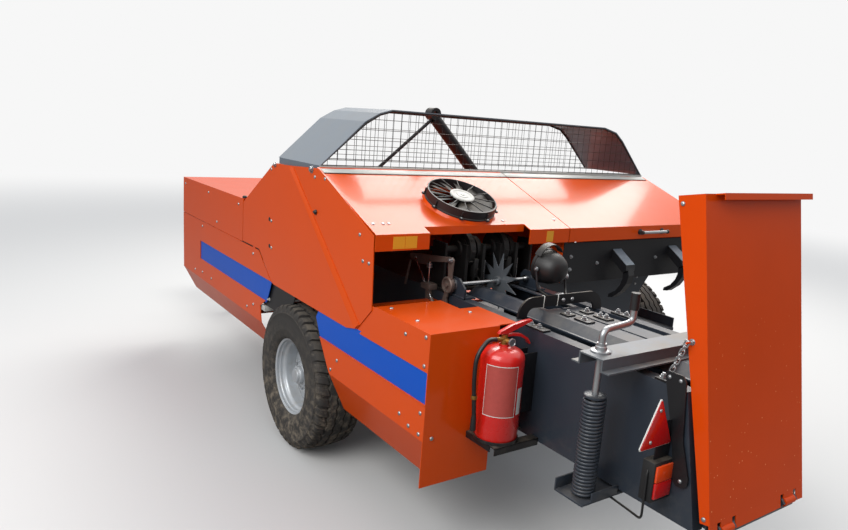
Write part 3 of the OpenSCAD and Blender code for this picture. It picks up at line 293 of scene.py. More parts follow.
# Steel of the tension beam and star wheel: its large dust amount also paints a pale sheen on upper faces.
DUSTY_SHEENED_STEEL = finish_of("dusty_sheened_steel", (0.37, 0.39, 0.41), 0.4, metal=0.35, wear=0.4,
                        bare=(0.62, 0.63, 0.64), dust_sheen=0.5, splash=0.1, grain=400.0, depth=0.12, spread=0.35,
                        tone_scale=9.0)
SHEET_GREY = finish_of("grey_sheet", (0.4, 0.44, 0.48), 0.34, metal=0.2, coat=0.25, wear=0.3,
                       bare=(0.5, 0.5, 0.5), dust_sheen=0.15, splash=0.1, grain=800.0, depth=0.05, waves=0.3,
                       spread=0.15)
AMBER_LENS = finish_of("amber_lens", (0.88, 0.27, 0.04), 0.2, coat=0.6, dust_sheen=0.1, splash=0.1, grain=300.0,
                       depth=0.4)

SLOT_FINISH = {
    "orange": ORANGE, "anthracite": ANTHRACITE, "black": BLACK, "black_plastic": BLACK_PLASTIC,
    "zinc": ZINC, "rim_silver": RIM_SILVER, "blue": BLUE, "tyre": TYRE_RUBBER, "red": RED_PAINT,
    "reflector_red": RED_LENS, "lamp_red": RED_LENS, "cast": CAST, "light_grey": LIGHT_GREY,
    "tine_yellow": TINE_STEEL,
}
NODE_FINISH = {
    "chute": CHIPPED_ORANGE, "tension_beam": DUSTY_SHEENED_STEEL, "cage_sheets": SHEET_GREY, "knotters": CAST,
}

for part in frame["record"]["subparts"]:
    node = frame["nodes"][part["node"]]
    node.data.materials.clear()
    node.data.materials.append(NODE_FINISH.get(part["node"], SLOT_FINISH[part["material_slot"]]))


# Building blocks for the dressed pieces

MIDDLE_X = 0.706
WASHER = 0.0018


def both_sides(x):
    """The same place on both sides of the chamber, each with its way to the middle."""
    return (x, 1.0), (2 * MIDDLE_X - x, -1.0)


def make_piece(name, shape, look, body="chassis", stands_for=(), smooth=38.0):
    """Turns a finished shape into an object that rides on its body and may stand for CAD nodes."""
    bmesh.ops.remove_doubles(shape, verts=shape.verts, dist=1e-5)
    bmesh.ops.recalc_face_normals(shape, faces=shape.faces)
    mesh = bpy.data.meshes.new(name)
    shape.to_mesh(mesh)
    shape.free()
    mesh.materials.append(look)
    mesh.shade_smooth()
    mesh.set_sharp_from_angle(angle=math.radians(smooth))
    return place_object(bpy.data.objects.new(name, mesh), body, stands_for)


def place_object(obj, body, stands_for):
    """Shows an object and puts it on its body."""
    bpy.context.collection.objects.link(obj)
    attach(obj, body)
    if stands_for:
        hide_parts(*stands_for)
    return obj


def make_wire(name, runs, radius, look, body="chassis", stands_for=(), closed=False, sides=4):
    """Round wire or rod along each run of points."""
    curve = bpy.data.curves.new(name, "CURVE")
    curve.dimensions = "3D"
    curve.bevel_depth = radius
    curve.bevel_resolution = sides
    curve.use_fill_caps = True
    curve.materials.append(look)
    for points in runs:
        spline = curve.splines.new("POLY")
        spline.points.add(len(points) - 1)
        spline.use_cyclic_u = closed
        spline.use_smooth = True
        for knot, point in zip(spline.points, points):
            knot.co = (*point, 1.0)
    return place_object(bpy.data.objects.new(name, curve), body, stands_for)


def rounded(points, cut=0.02, steps=6):
    """A path whose corners are rounded: each corner is left and met at the given distance."""
    path = [points[0]]
    for before, corner, after in zip(points, points[1:], points[2:]):
        reach = min(cut, 0.5 * (corner - before).length, 0.5 * (after - corner).length)
        start = corner + (before - corner).normalized() * reach
        end = corner + (after - corner).normalized() * reach
        for i in range(steps + 1):
            t = i / steps
            path.append(start * (1 - t) ** 2 + corner * 2 * t * (1 - t) + end * t ** 2)
    path.append(points[-1])
    return path


def places(*points):
    """Several places given as at() takes them."""
    return [at(*point) for point in points]


def near(place, *offsets):
    """Several places given from another place."""
    return [place + Vector(offset) for offset in offsets]


def on_circle(radius, angle, height=0.0):
    """A place on a circle round a frame's own Z."""
    return Vector((radius * math.cos(angle), radius * math.sin(angle), height))


def facing(place, axis):
    """Frame at a place whose own Z looks along the axis."""
    return Matrix.Translation(place) @ Vector(axis).to_track_quat("Z", "Y").to_matrix().to_4x4()


def spread(frame_there, count, start=0.0):
    """Frames spread evenly round a frame's own Z."""
    return [frame_there @ Matrix.Rotation(math.tau * k / count + start, 4, "Z") for k in range(count)]


def add_turned(shape, profile, matrix, steps=24):
    """A body turned round the frame's own Z from a list of (radius, height)."""
    verts = [shape.verts.new(matrix @ Vector((radius, 0.0, height))) for radius, height in profile]
    edges = [shape.edges.new(pair) for pair in zip(verts, verts[1:])]
    bmesh.ops.spin(shape, geom=verts + edges, cent=matrix.translation, axis=matrix.to_3x3().col[2],
                   angle=math.tau, steps=steps, use_merge=True)


def turned(profile, matrix, steps=24):
    """A new shape that holds one turned body."""
    shape = bmesh.new()
    add_turned(shape, profile, matrix, steps)
    return shape


def add_disc(shape, radius, height, matrix, steps=24):
    """A round disc that stands on the frame's own plane."""
    add_turned(shape, [(0, 0), (radius, 0), (radius, height), (0, height)], matrix, steps)


def bevel_edges(shape, verts, offset):
    """Bevels each edge that meets one of the corners."""
    if offset:
        edges = {edge for vert in verts for edge in vert.link_edges}
        bmesh.ops.bevel(shape, geom=list(edges), offset=offset, segments=2, profile=0.5,
                        affect="EDGES", material=-1)


def add_box(shape, low, high, bevel=0.0, matrix=Matrix.Identity(4)):
    """A box between two corners of the frame, its edges bevelled."""
    low, high = Vector(low), Vector(high)
    size = Matrix.Diagonal((*(high - low), 1.0))
    made = bmesh.ops.create_cube(shape, size=1.0,
                                 matrix=matrix @ Matrix.Translation((low + high) / 2) @ size)
    bevel_edges(shape, made["verts"], bevel)


def boxes(*corners):
    """A new shape of boxes, each given by its low corner, its high corner and its bevel."""
    shape = bmesh.new()
    for low, high, *bevel in corners:
        add_box(shape, at(*low), at(*high), *bevel)
    return shape


def add_rod(shape, start, end, radius, sides=16, end_radius=None):
    """A straight rod or cone between two points."""
    run = end - start
    bmesh.ops.create_cone(shape, cap_ends=True, segments=sides, radius1=radius, depth=run.length,
                          radius2=radius if end_radius is None else end_radius,
                          matrix=facing((start + end) / 2, run))


def add_outline(shape, points, depth, bevel=0.0):
    """A flat plate: its outline pushed along the depth vector."""
    face = shape.faces.new([shape.verts.new(point) for point in points])
    made = bmesh.ops.extrude_face_region(shape, geom=[face])
    moved = [part for part in made["geom"] if isinstance(part, bmesh.types.BMVert)]
    bmesh.ops.translate(shape, vec=depth, verts=moved)
    bevel_edges(shape, moved, bevel)


def add_plate(shape, x, thick, outline, bevel=0.0):
    """A plate that stands along the machine: an outline of (y, z) at x, as thick as given to the right."""
    add_outline(shape, [at(x, y, z) for y, z in outline], RIGHT * thick, bevel)


DOME = ((1.0, 0.0), (1.0, 0.15), (0.93, 0.5), (0.72, 0.82), (0.38, 0.97), (0.0, 1.0))


def add_dome(shape, place, axis, radius=0.008, height=0.005):
    """Round bolt head."""
    add_turned(shape, [(radius * r, height * h) for r, h in DOME], facing(place, axis), 14)


def add_hex(shape, place, axis, radius=0.0085, height=0.007, stud=0.004):
    """Hexagon nut on a washer, with the bolt's end standing out of it."""
    frame_there = facing(place, axis)
    add_disc(shape, radius * 1.3, WASHER, frame_there, 18)
    out = frame_there.to_3x3().col[2]
    nut_foot = place + out * WASHER
    nut_top = nut_foot + out * height
    add_rod(shape, nut_foot, nut_top, radius, 6)
    add_rod(shape, nut_top, nut_top + out * stud, radius * 0.55, 10)


# Tyres and rims

TYRE_R = 0.38
PITCHES = 42
PITCH_STEPS = (0.0, 0.26, 0.52, 0.58, 0.86, 0.92)
GROOVE, SLOT = 0.009, 0.013
WHEELS = {"left": (at(0.102, 0, TYRE_R), LEFT), "right": (at(2.492, 0, TYRE_R), RIGHT)}


def crown(across):
    """Radius of the tread's surface at a distance from the middle."""
    return TYRE_R - 0.01 * (across / 0.112) ** 2


TREAD = [(u, crown(u) - low * GROOVE) for u, low in (
    (0, 0), (0.018, 0), (0.0195, 1), (0.0275, 1), (0.029, 0), (0.046, 0), (0.062, 0), (0.0635, 1),
    (0.0725, 1), (0.074, 0), (0.094, 0), (0.11, 0))]
SHOULDER = [(0.1155, 0.364), (0.121, 0.35), (0.1245, 0.34)]
SIDEWALL = [(0.1272, 0.334), (0.129, 0.3325), (0.1296, 0.3285), (0.1285, 0.3262), (0.1312, 0.3),
            (0.132, 0.276), (0.1302, 0.25), (0.131, 0.247), (0.13, 0.243), (0.1262, 0.224), (0.1225, 0.211),
            (0.119, 0.2045), (0.106, 0.1955)]


def add_tyre(shape, centre, axis):
    """A tyre with two zigzag grooves a side and slanted blocks on its shoulders."""
    half = TREAD + SHOULDER + SIDEWALL
    profile = [(r, -u) for u, r in reversed(half[1:])] + [(r, u) for u, r in half]
    matrix = facing(centre, axis)
    steps = PITCHES * len(PITCH_STEPS)
    add_turned(shape, profile, matrix, steps)
    back = matrix.inverted()
    for vert in shape.verts:
        place = back @ vert.co
        across, radius = place.z, math.hypot(place.x, place.y)
        index = round(math.atan2(place.y, place.x) / math.tau * steps) % steps
        pitch, step = divmod(index, len(PITCH_STEPS))
        if radius < 0.337:
            continue
        side = 1.0 if across > 0 else -1.0
        turn = pitch + PITCH_STEPS[step] + (0.5 if side > 0 else 0.0) * (abs(across) > 0.016)
        wave = abs((turn % 1.0) * 2.0 - 1.0) * 2.0 - 1.0
        if 0.016 < abs(across) < 0.0745:
            across += 0.005 * wave
        outer = max(0.0, (abs(across) - 0.068) / 0.05)
        if abs(across) > 0.068:
            turn += 0.28 * outer
            if step in (3, 4):
                depth = SLOT * (1.0 if radius > 0.355 else 0.35)
                radius -= depth
                across -= side * 0.2 * depth
        vert.co = matrix @ on_circle(radius, turn / PITCHES * math.tau, across)


BARREL = [(0.2118, 0.1122), (0.213, 0.1095), (0.2118, 0.106), (0.204, 0.107), (0.1985, 0.105),
          (0.1925, 0.1015), (0.1878, 0.096), (0.1862, 0.089), (0.1846, 0.0868), (0.1816, 0.085),
          (0.1806, 0.072), (0.179, 0.069), (0.1735, 0.0665), (0.169, 0.062), (0.1665, 0.054), (0.166, 0.03),
          (0.164, 0.006)]
HUB_CAP = [(0.059, 0.037), (0.06, 0.04), (0.06, 0.0455), (0.057, 0.048), (0.05, 0.0485), (0.0478, 0.051),
           (0.0478, 0.066), (0.045, 0.07), (0.038, 0.0715), (0.0365, 0.0745), (0.0365, 0.079),
           (0.034, 0.0825), (0, 0.0835)]

for side, (centre, outward) in WHEELS.items():
    body = side + "_wheel"
    tyre_shape = bmesh.new()
    add_tyre(tyre_shape, centre, outward)
    make_piece(side + "_tread_tyre", tyre_shape, TYRE_RUBBER, body, (side + "_tyre",), 42.0)
    wheel_frame = facing(centre, outward)
    make_piece(side + "_rim_steps", turned(BARREL, wheel_frame, 96), RIM_SILVER, body, smooth=50.0)
    hub = turned(HUB_CAP, wheel_frame, 48)
    for k in range(6):
        stud = on_circle(0.084, math.radians(22.5 + 60 * k))
        add_disc(hub, 0.0165, 0.003, wheel_frame @ Matrix.Translation(stud + UP * 0.0225), 20)
        add_rod(hub, wheel_frame @ (stud + UP * 0.03), wheel_frame @ (stud + UP * 0.044), 0.006, 12)
    make_piece(side + "_hub_cap", hub, RIM_SILVER, body)
    stem_foot, stem_neck, stem_tip = (wheel_frame @ Vector(place) for place in (
        (0.158, 0.02, 0.004), (0.152, 0.02, 0.045), (0.151, 0.02, 0.058)))
    valve = bmesh.new()
    add_rod(valve, stem_foot, stem_neck, 0.006, 12)
    add_rod(valve, stem_neck, stem_tip, 0.005, 12, 0.004)
    make_piece(side + "_valve", valve, BLACK_PLASTIC, body)


# Bale density gear: springs, screws with cranks, clamps

SCREWS = both_sides(0.305)
SCREW_Y = -1.725
CRANK_REACH = 0.14
SPRING_Z0, SPRING_Z1, SPRING_R, SPRING_TURNS, SPRING_WIRE = 0.518, 0.87, 0.0345, 27, 0.0058
BEAM_TOP = 0.9853 + 0.042


def spring_path(x, per_turn=20):
    """Helix of one pressing spring, its ends touching the seats."""
    count = SPRING_TURNS * per_turn
    points = []
    for i in range(count + 1):
        height = SPRING_Z0 + SPRING_WIRE + (SPRING_Z1 - SPRING_Z0 - 2 * SPRING_WIRE) * i / count
        points.append(at(x, SCREW_Y, 0) + on_circle(SPRING_R, i / per_turn * math.tau, height))
    return points


make_wire("pressing_springs", [spring_path(x) for x, _ in SCREWS], SPRING_WIRE, ANTHRACITE,
          stands_for=("tension_springs",), sides=3)
screw_runs, grip_runs = [], []
screw_parts, spring_seats = bmesh.new(), bmesh.new()
for x, way in SCREWS:
    elbow = x + way * CRANK_REACH
    screw_runs.append(rounded([at(x, SCREW_Y, SPRING_Z0 + 0.008), at(x, SCREW_Y, BEAM_TOP + 0.072),
                               at(elbow, SCREW_Y, BEAM_TOP + 0.084), at(elbow, SCREW_Y, BEAM_TOP + 0.185)],
                               0.026))
    grip_runs.append([at(elbow, SCREW_Y, BEAM_TOP + 0.128), at(elbow, SCREW_Y, BEAM_TOP + 0.186)])
    add_turned(screw_parts, [(0, 0), (0.034, 0), (0.034, 0.005), (0.031, 0.007), (0.02, 0.008),
                             (0.019, 0.018), (0.016, 0.021), (0.016, 0.03), (0, 0.03)],
                             facing(at(x, SCREW_Y, BEAM_TOP), UP), 32)
    add_turned(spring_seats, [(0, 0), (0.036, 0), (0.038, 0.002), (0.038, 0.008), (0.034, 0.011),
                              (0.018, 0.012), (0, 0.012)], facing(at(x, SCREW_Y, SPRING_Z1), UP), 32)
make_wire("screw_cranks", screw_runs, 0.0115, ZINC, stands_for=("tension_screws",), sides=5)
make_piece("screw_collars", screw_parts, ZINC)
make_piece("spring_seats", spring_seats, ANTHRACITE)
make_wire("crank_grips", grip_runs, 0.0155, BLACK_PLASTIC, sides=5)
CHANNEL_Y0, CHANNEL_Y1, CHANNEL_Z = -1.776, -1.648, 0.5177
channel = boxes(((0.247, CHANNEL_Y0, CHANNEL_Z - 0.008), (1.165, CHANNEL_Y1, CHANNEL_Z), 0.002))
for x0, x1, inner in ((0.247, 0.4225, 0.293), (0.9895, 1.165, 1.119)):
    low, high = sorted((inner, x1 if x0 < MIDDLE_X else x0))
    add_box(channel, at(low, CHANNEL_Y0, CHANNEL_Z - 0.004), at(high, CHANNEL_Y0 + 0.006, CHANNEL_Z + 0.03),
            0.0015)
    add_box(channel, at(x0, CHANNEL_Y1 - 0.006, CHANNEL_Z - 0.004), at(x1, CHANNEL_Y1, CHANNEL_Z + 0.04),
            0.0015)
for x in (0.468, 0.904):
    add_box(channel, at(x, -1.765, CHANNEL_Z - 0.004), at(x + 0.04, -1.685, 0.5295))
make_piece("spring_channel", channel, ANTHRACITE, stands_for=("spring_brackets",))

# Chain that holds the chute up

CHAIN_TOP, CHAIN_END = places((0.4205, -1.956, 1.119), (0.4205, -1.914, 1.006))
CHAIN_RUN = (CHAIN_END - CHAIN_TOP).normalized()
link_runs = []
for k in range(7):
    middle = CHAIN_TOP + CHAIN_RUN * (0.0105 + 0.0165 * k)
    wide = CHAIN_RUN.cross(RIGHT) if k % 2 == 0 else RIGHT
    oval = []
    for j in range(20):
        angle = math.tau * (j + 0.5) / 20
        along = 0.007 * math.sin(angle) + math.copysign(0.0052, math.sin(angle))
        oval.append(middle + wide * 0.0078 * math.cos(angle) - CHAIN_RUN * along)
    link_runs.append(oval)
make_wire("chute_chain_links", link_runs, 0.0024, ZINC, "chute", ("chute_chain",), closed=True, sides=2)


# Cooling fan

HOOD_Z, HOOD_Y, LIP_Y, LIP_Z = 1.47, 0.212, 0.765, 1.255
HOOD_SLOPE = (HOOD_Z - LIP_Z) / (LIP_Y - HOOD_Y)
FAN_R = 0.17


def on_hood(x, y, lift=0.0):
    """Frame on the hoods' slope, its own Z square to the sheet."""
    place = Matrix.Translation(at(x, y, HOOD_Z - (-y - HOOD_Y) * HOOD_SLOPE))
    return place @ Matrix.Rotation(math.atan(HOOD_SLOPE), 4, "X") @ Matrix.Translation((0, 0, lift))


fan_frame = on_hood(0.578, -0.548, 0.0143)
clip_frames = spread(fan_frame, 8, math.tau * 0.3 / 8)
shroud = turned([(FAN_R - 0.006, 0.001), (FAN_R + 0.004, 0.001), (FAN_R + 0.004, 0.006),
                 (FAN_R - 0.001, 0.009), (FAN_R - 0.001, 0.043), (FAN_R + 0.001, 0.0455),
                 (FAN_R - 0.005, 0.0455), (FAN_R - 0.006, 0.042), (FAN_R - 0.006, 0.001)], fan_frame, 96)
for there in clip_frames:
    add_box(shroud, (FAN_R - 0.004, -0.01, 0.002), (FAN_R + 0.018, 0.01, 0.011), 0.002, there)
    add_box(shroud, (FAN_R - 0.003, -0.003, 0.009), (FAN_R + 0.007, 0.003, 0.036), 0.001, there)
for there in spread(fan_frame, 12, 0.1):
    add_box(shroud, (0.055, -0.0016, 0.04), (FAN_R - 0.005, 0.0016, 0.0445), 0.0006, there)
make_piece("fan_shroud", shroud, BLACK_PLASTIC, smooth=30.0)
make_piece("fan_motor", turned([(0.058, 0.0385), (0.06, 0.04), (0.06, 0.045), (0.057, 0.047),
                                (0.046, 0.0475), (0.044, 0.046), (0.03, 0.046), (0.028, 0.048),
                                (0.012, 0.0485), (0.011, 0.051), (0, 0.051)], fan_frame, 48), LIGHT_GREY)
fan_screws = bmesh.new()
for there in clip_frames:
    add_dome(fan_screws, there @ Vector((FAN_R + 0.011, 0, 0.011)), there.to_3x3().col[2], 0.0045, 0.003)
make_piece("fan_screws", fan_screws, ZINC)
rotor = turned([(0, 0.012), (0.036, 0.012), (0.04, 0.016), (0.04, 0.036), (0.036, 0.038), (0, 0.038)],
               fan_frame, 40)
for there in spread(fan_frame, 12):
    made = bmesh.ops.create_grid(rotor, x_segments=8, y_segments=4, size=0.5, matrix=Matrix.Identity(4))
    for vert in made["verts"]:
        out, width = vert.co.x + 0.5, vert.co.y
        radius = 0.037 + 0.119 * out
        twist = math.radians(42 - 16 * out)
        chord = (0.018 + 0.012 * out) * 2 * width
        sweep = 0.05 * out ** 2
        vert.co = there @ Vector((radius, chord * math.cos(twist) * 0.9 + radius * sweep,
                                  0.026 + chord * math.sin(twist) * 0.42))
    blade = {face for vert in made["verts"] for face in vert.link_faces}
    bmesh.ops.solidify(rotor, geom=list(blade), thickness=0.002)
make_piece("fan_blades", rotor, BLACK_PLASTIC, "fan_rotor", ("fan_rotor",), 50.0)

# Bolts, latches and blank labels on the sheets

SIDE_BOLTS = [
    (0.343, 1.417), (-0.186, 1.429), (-0.292, 1.432), (-0.64, 1.235), (-0.677, 1.129), (-0.728, 1.129),
    (0.323, 1.143), (0.313, 0.999), (1.525, 0.92), (1.223, 0.997), (0.577, 0.915), (1.686, 0.587),
    (1.517, 0.603), (1.324, 0.6), (0.558, 0.621), (0.657, 0.585), (-1.036, 0.917), (-1.173, 0.944),
    (-1.174, 0.833), (-0.491, 0.628), (-0.432, 0.566), (-1.03, 0.589), (-1.171, 0.646), (-1.098, 0.565),
    (-1.169, 0.56),
]
PANEL_BOLTS = [
    (LEFT, [(0, y, z) for y, z in SIDE_BOLTS]),
    (UP, [(x, y, 0.962) for x, y in ((0.334, -1.002), (0.053, -1.032), (0.053, -0.84))]),
    (REAR, [(0.04, -1.2, 0.547), (0.29, -1.2, 0.9)]),
    (RIGHT, [(2.325, -0.66, 0.98), (2.325, -0.3, 1.05), (2.325, 0.1, 1.2), (2.325, 0.2, 0.86),
             (1.04, 0.85, 0.8), (1.04, 1.35, 0.76), (1.04, 1.9, 0.72), (1.04, 0.85, 1.1),
             (1.04, 1.9, 1.1)]),
]
GUARD_BOLTS = [(1.166, 1.105), (1.167, 1.039), (1.365, 1.063), (1.603, 1.071), (1.841, 1.071),
               (2.11, 1.071)]
PLATE_BOLTS = [(1.893, 0.921), (1.885, 0.881), (1.818, 0.866), (1.768, 0.897)]
domes = bmesh.new()
for axis, bolts in PANEL_BOLTS:
    for bolt in bolts:
        add_dome(domes, at(*bolt), axis, 0.0085)
for x in (0.033, 0.083, 0.11, 0.743, 1.08):
    there = on_hood(x, -0.684)
    add_dome(domes, there.translation, there.to_3x3().col[2], 0.0085, 0.004)
make_piece("panel_bolts", domes, ZINC)

corner_bolts = bmesh.new()
for y, z, radius in ((0.29, 1.444, 0.01), (-0.149, 1.461, 0.014)):
    add_hex(corner_bolts, at(0, y, z), LEFT, radius, 0.008)
make_piece("corner_bolts", corner_bolts, ZINC)

slots = boxes(((-0.012, -0.226, 1.264), (0, -0.198, 1.272), 0.002))
for y, z in ((0.35, 1.148), (0.34, 1.004)):
    add_disc(slots, 0.011, 0.0015, facing(at(0, y, z), LEFT), 20)
add_turned(slots, [(0, 0), (0.012, 0), (0.012, 0.006), (0.008, 0.01), (0, 0.01)],
           facing(at(0, -0.212, 1.268), LEFT))
make_piece("lock_plugs", slots, BLACK_PLASTIC)

guard_bolts = bmesh.new()
for x, z in GUARD_BOLTS:
    add_hex(guard_bolts, at(x, -0.745, z), REAR, 0.0075, 0.006)
for x, z in PLATE_BOLTS:
    add_dome(guard_bolts, at(x, -0.6, z), REAR)
make_piece("guard_bolts", guard_bolts, ZINC)

make_piece("warning_labels", boxes(*(
    ((x0, -LIP_Y - 0.0008, 1.1925), (x1, -LIP_Y, 1.2445))
    for x0, x1 in ((0.088, 0.1465), (0.1485, 0.207), (0.962, 1.006)))), LABEL)

# Black plate behind the gap in front of the tyre, and the bracket in that gap
arch = boxes(((0.02, 0.3, 0.7), (0.428, 0.34, 0.74), 0.003))
add_plate(arch, 0.016, 0.004, ((0.52, 0.8), (0.02, 0.8), (0.05, 0.74), (0.26, 0.655), (0.52, 0.655)))
make_piece("wheel_arch_plate", arch, BLACK)
stub = boxes(((0.006, 0.4, 0.618), (0.12, 0.45, 0.65), 0.003))
add_hex(stub, at(0.016, 0.36, 0.7), LEFT, 0.008)
make_piece("skirt_bracket", stub, LIGHT_GREY)

# Lip along the lid, the seal behind it, the side panel's crease and the strips on the hoods
make_piece("skirt_edges", boxes(
    ((-0.0025, 0.79, 0.9505), (0.004, 1.975, 0.953), 0.0008),
    ((0, 1.5705, 0.684), (0.0085, 1.5745, 0.816), 0.0006),
    ((-0.003, -1.1985, 0.6835), (0.002, -0.31, 0.6865), 0.0008)), ORANGE)
make_piece("lid_dark_line", boxes(
    ((0.0035, 0.76, 0.95), (0.006, 1.98, 0.955)),
    ((0.0035, 0.7505, 0.955), (0.006, 0.7565, 1.19)),
    ((0.0065, 0.44, 0.925), (0.009, 0.8, 0.985))), BLACK_PLASTIC)
crease = bmesh.new()
ridge = [(0.098, 1.45), (-0.648, 0.8265)]
root = [(-0.676, 0.8525), (0.062, 1.45)]
foot = [crease.verts.new(at(-0.0031, y, z)) for y, z in ridge + root]
raised = [crease.verts.new(at(-0.0085, y, z)) for y, z in ridge]
for ring in ((foot[0], foot[1], raised[1], raised[0]), (raised[0], raised[1], foot[2], foot[3]),
             (foot[0], raised[0], foot[3]), (foot[1], foot[2], raised[1]), foot[::-1]):
    crease.faces.new(ring)
make_piece("panel_crease", crease, ORANGE)
corner = bmesh.new()
add_plate(corner, 0.0045, 0.002, ((-0.815, 0.956), (-0.815, 0.925), (-0.7, 0.816), (-0.628, 0.816),
                                  (-0.745, 0.935), (-0.745, 0.956)))
make_piece("box_corner", corner, ORANGE)
hood_top = on_hood(0, -0.214)
for name, x0, x1, body in (("left_hood_strip", 0.012, 1.115, "chassis"),
                           ("right_hood_strip", 1.121, 2.3, "right_hood")):
    strip, dark_line = bmesh.new(), bmesh.new()
    add_box(strip, (x0, -0.04, 0.0005), (x1, 0, 0.0035), 0.0006, hood_top)
    # Thin black strip along the lower edge of each hood strip.
    add_box(dark_line, (x0, -0.046, 0.0005), (x1, -0.0402, 0.003), 0.0, hood_top)
    make_piece(name, strip, LIGHT_GREY, body)
    make_piece(name + "_dark_line", dark_line, BLACK_PLASTIC, body)
make_piece("guard_edges", boxes(((0.99, 0.283, 0.89), (2.29, 0.287, 0.972)),
                                ((1.1125, -0.7445, 0.968), (1.1305, -0.74, 1.19))), BLACK)
make_piece("cage_foot", boxes(((0.019, -0.186, 1.452), (0.0225, 0.286, 1.4835))), SHEET_GREY)
make_piece("lid_knob", turned([(0, 0), (0.014, 0), (0.014, 0.01), (0.01, 0.015), (0, 0.016)],
                              facing(at(0.014, 0.768, 1.207), UP)), BLACK_PLASTIC, "front_lid")
lid_bolts = bmesh.new()
for y in (0.83, 1.4, 1.93):
    add_dome(lid_bolts, at(0, y, 1.165), LEFT)
make_piece("lid_bolts", lid_bolts, ZINC, "front_lid")


# Knotter table: star wheel, its bearings and the trip linkage

STAR_Y, STAR_Z = -0.735, 1.01
STAR = at(MIDDLE_X, STAR_Y, STAR_Z)
star = bmesh.new()
teeth = []
for i in range(22):
    angle = math.tau * i / 22
    reach = 0.136 if i % 2 == 0 else 0.06
    teeth.append(STAR + Vector((0, reach * math.cos(angle), reach * math.sin(angle))))
add_outline(star, teeth, RIGHT * 0.004, 0.0008)
add_turned(star, [(0, -0.014), (0.02, -0.014), (0.022, -0.011), (0.022, 0.016), (0.02, 0.019), (0, 0.019)],
           facing(STAR, RIGHT), 28)
make_piece("star_plate", star, DUSTY_SHEENED_STEEL, "star_wheel", ("star_wheel",))
shaft = bmesh.new()
add_rod(shaft, at(0.424, STAR_Y, STAR_Z), at(0.912, STAR_Y, STAR_Z), 0.01, 24)
for x in (0.462, 0.87):
    add_turned(shaft, [(0.01, 0), (0.017, 0), (0.017, 0.008), (0.01, 0.008)],
               facing(at(x, STAR_Y, STAR_Z), RIGHT))
make_piece("star_shaft", shaft, POLISHED, "star_wheel")
bearings = bmesh.new()
for x, axis in ((0.436, LEFT), (0.9, RIGHT)):
    there = facing(at(x, STAR_Y, STAR_Z), axis)
    add_turned(bearings, [(0.0105, 0), (0.034, 0), (0.034, 0.004), (0.028, 0.006), (0.026, 0.01),
                          (0.0105, 0.01)],
               there, 32)
    for angle in (0.5, 2.6, 4.7):
        add_hex(bearings, there @ on_circle(0.03, angle, 0.004), axis, 0.005, 0.004, 0.002)
for x in (0.47, 0.924):
    for y in (STAR_Y + 0.03, STAR_Y - 0.05):
        add_hex(bearings, at(x, y, 0.97), UP, 0.01)
make_piece("star_bearings", bearings, ZINC)
plates = bmesh.new()
RAIL_TOP = 0.9603
for x, behind in ((0.436, 0.092), (0.89, 0.067)):
    y0, y1, top = STAR_Y - behind, STAR_Y + 0.049, STAR_Z + 0.038
    add_plate(plates, x, 0.01, ((y0, RAIL_TOP), (y0, STAR_Z), (y0 + 0.045, top), (y1 - 0.02, top),
                                 (y1, STAR_Z + 0.012), (y1, RAIL_TOP)), 0.001)
    add_box(plates, at(x - 0.004, y0, RAIL_TOP), at(x + 0.064, y1, RAIL_TOP + 0.0097), 0.0015)
make_piece("bearing_plates", plates, ANTHRACITE, stands_for=("star_brackets",))

trip = bmesh.new()
add_plate(trip, 0.408, 0.008, (
    (-0.766, 1.128), (-0.752, 1.14), (-0.732, 1.134), (-0.727, 1.11), (-0.733, 1.06), (-0.731, 1.02),
    (-0.722, 0.985), (-0.704, 0.938), (-0.698, 0.912), (-0.69, 0.86), (-0.716, 0.858), (-0.726, 0.902),
    (-0.74, 0.922), (-0.733, 0.945), (-0.752, 0.99), (-0.762, 1.02), (-0.76, 1.06), (-0.763, 1.11)), 0.001)
add_turned(trip, [(0, 0), (0.036, 0), (0.038, 0.003), (0.038, 0.02), (0.035, 0.023), (0.029, 0.023),
                  (0.027, 0.016), (0.012, 0.014), (0.01, 0.026), (0, 0.026)],
           facing(at(0.424, STAR_Y, STAR_Z), LEFT), 40)
make_piece("trip_arm", trip, RUSTED)
brown = boxes(((0.38, -0.634, 0.962), (0.428, -0.566, 0.99), 0.003),
              ((0.392, -0.625, 0.86), (0.404, -0.59, 0.964), 0.002))
add_plate(brown, 0.398, 0.008, ((-0.756, 1.14), (-0.748, 1.118), (-0.6, 1.09), (-0.585, 1.072),
                                (-0.52, 1.066), (-0.44, 1.074), (-0.43, 1.098), (-0.47, 1.106)), 0.001)
make_piece("trip_link", brown, RUSTED)
make_wire("trip_rods", [places((0.394, -0.488, 1.086), (0.396, -0.64, 0.919)),
                        places((0.402, -0.596, 1.106), (0.402, -0.596, 0.985))], 0.0045, POLISHED, sides=3)
make_wire("trip_rod_ends", [places((0.396, -0.634, 0.927), (0.397, -0.704, 0.842))], 0.009, RUSTED, sides=3)
make_wire("trip_struts", [places((0.392, -0.452, 1.072), (0.392, -0.416, 0.944))], 0.006, RUSTED, sides=3)
pins = bmesh.new()
add_hex(pins, at(0.407, -0.748, 1.126), LEFT, 0.011, 0.009)
add_dome(pins, at(0.396, -0.486, 1.087), LEFT)
for z in (1.074, 1.062):
    add_disc(pins, 0.014, 0.007, facing(at(0.402, -0.596, z), UP))
make_piece("trip_pins", pins, ZINC)

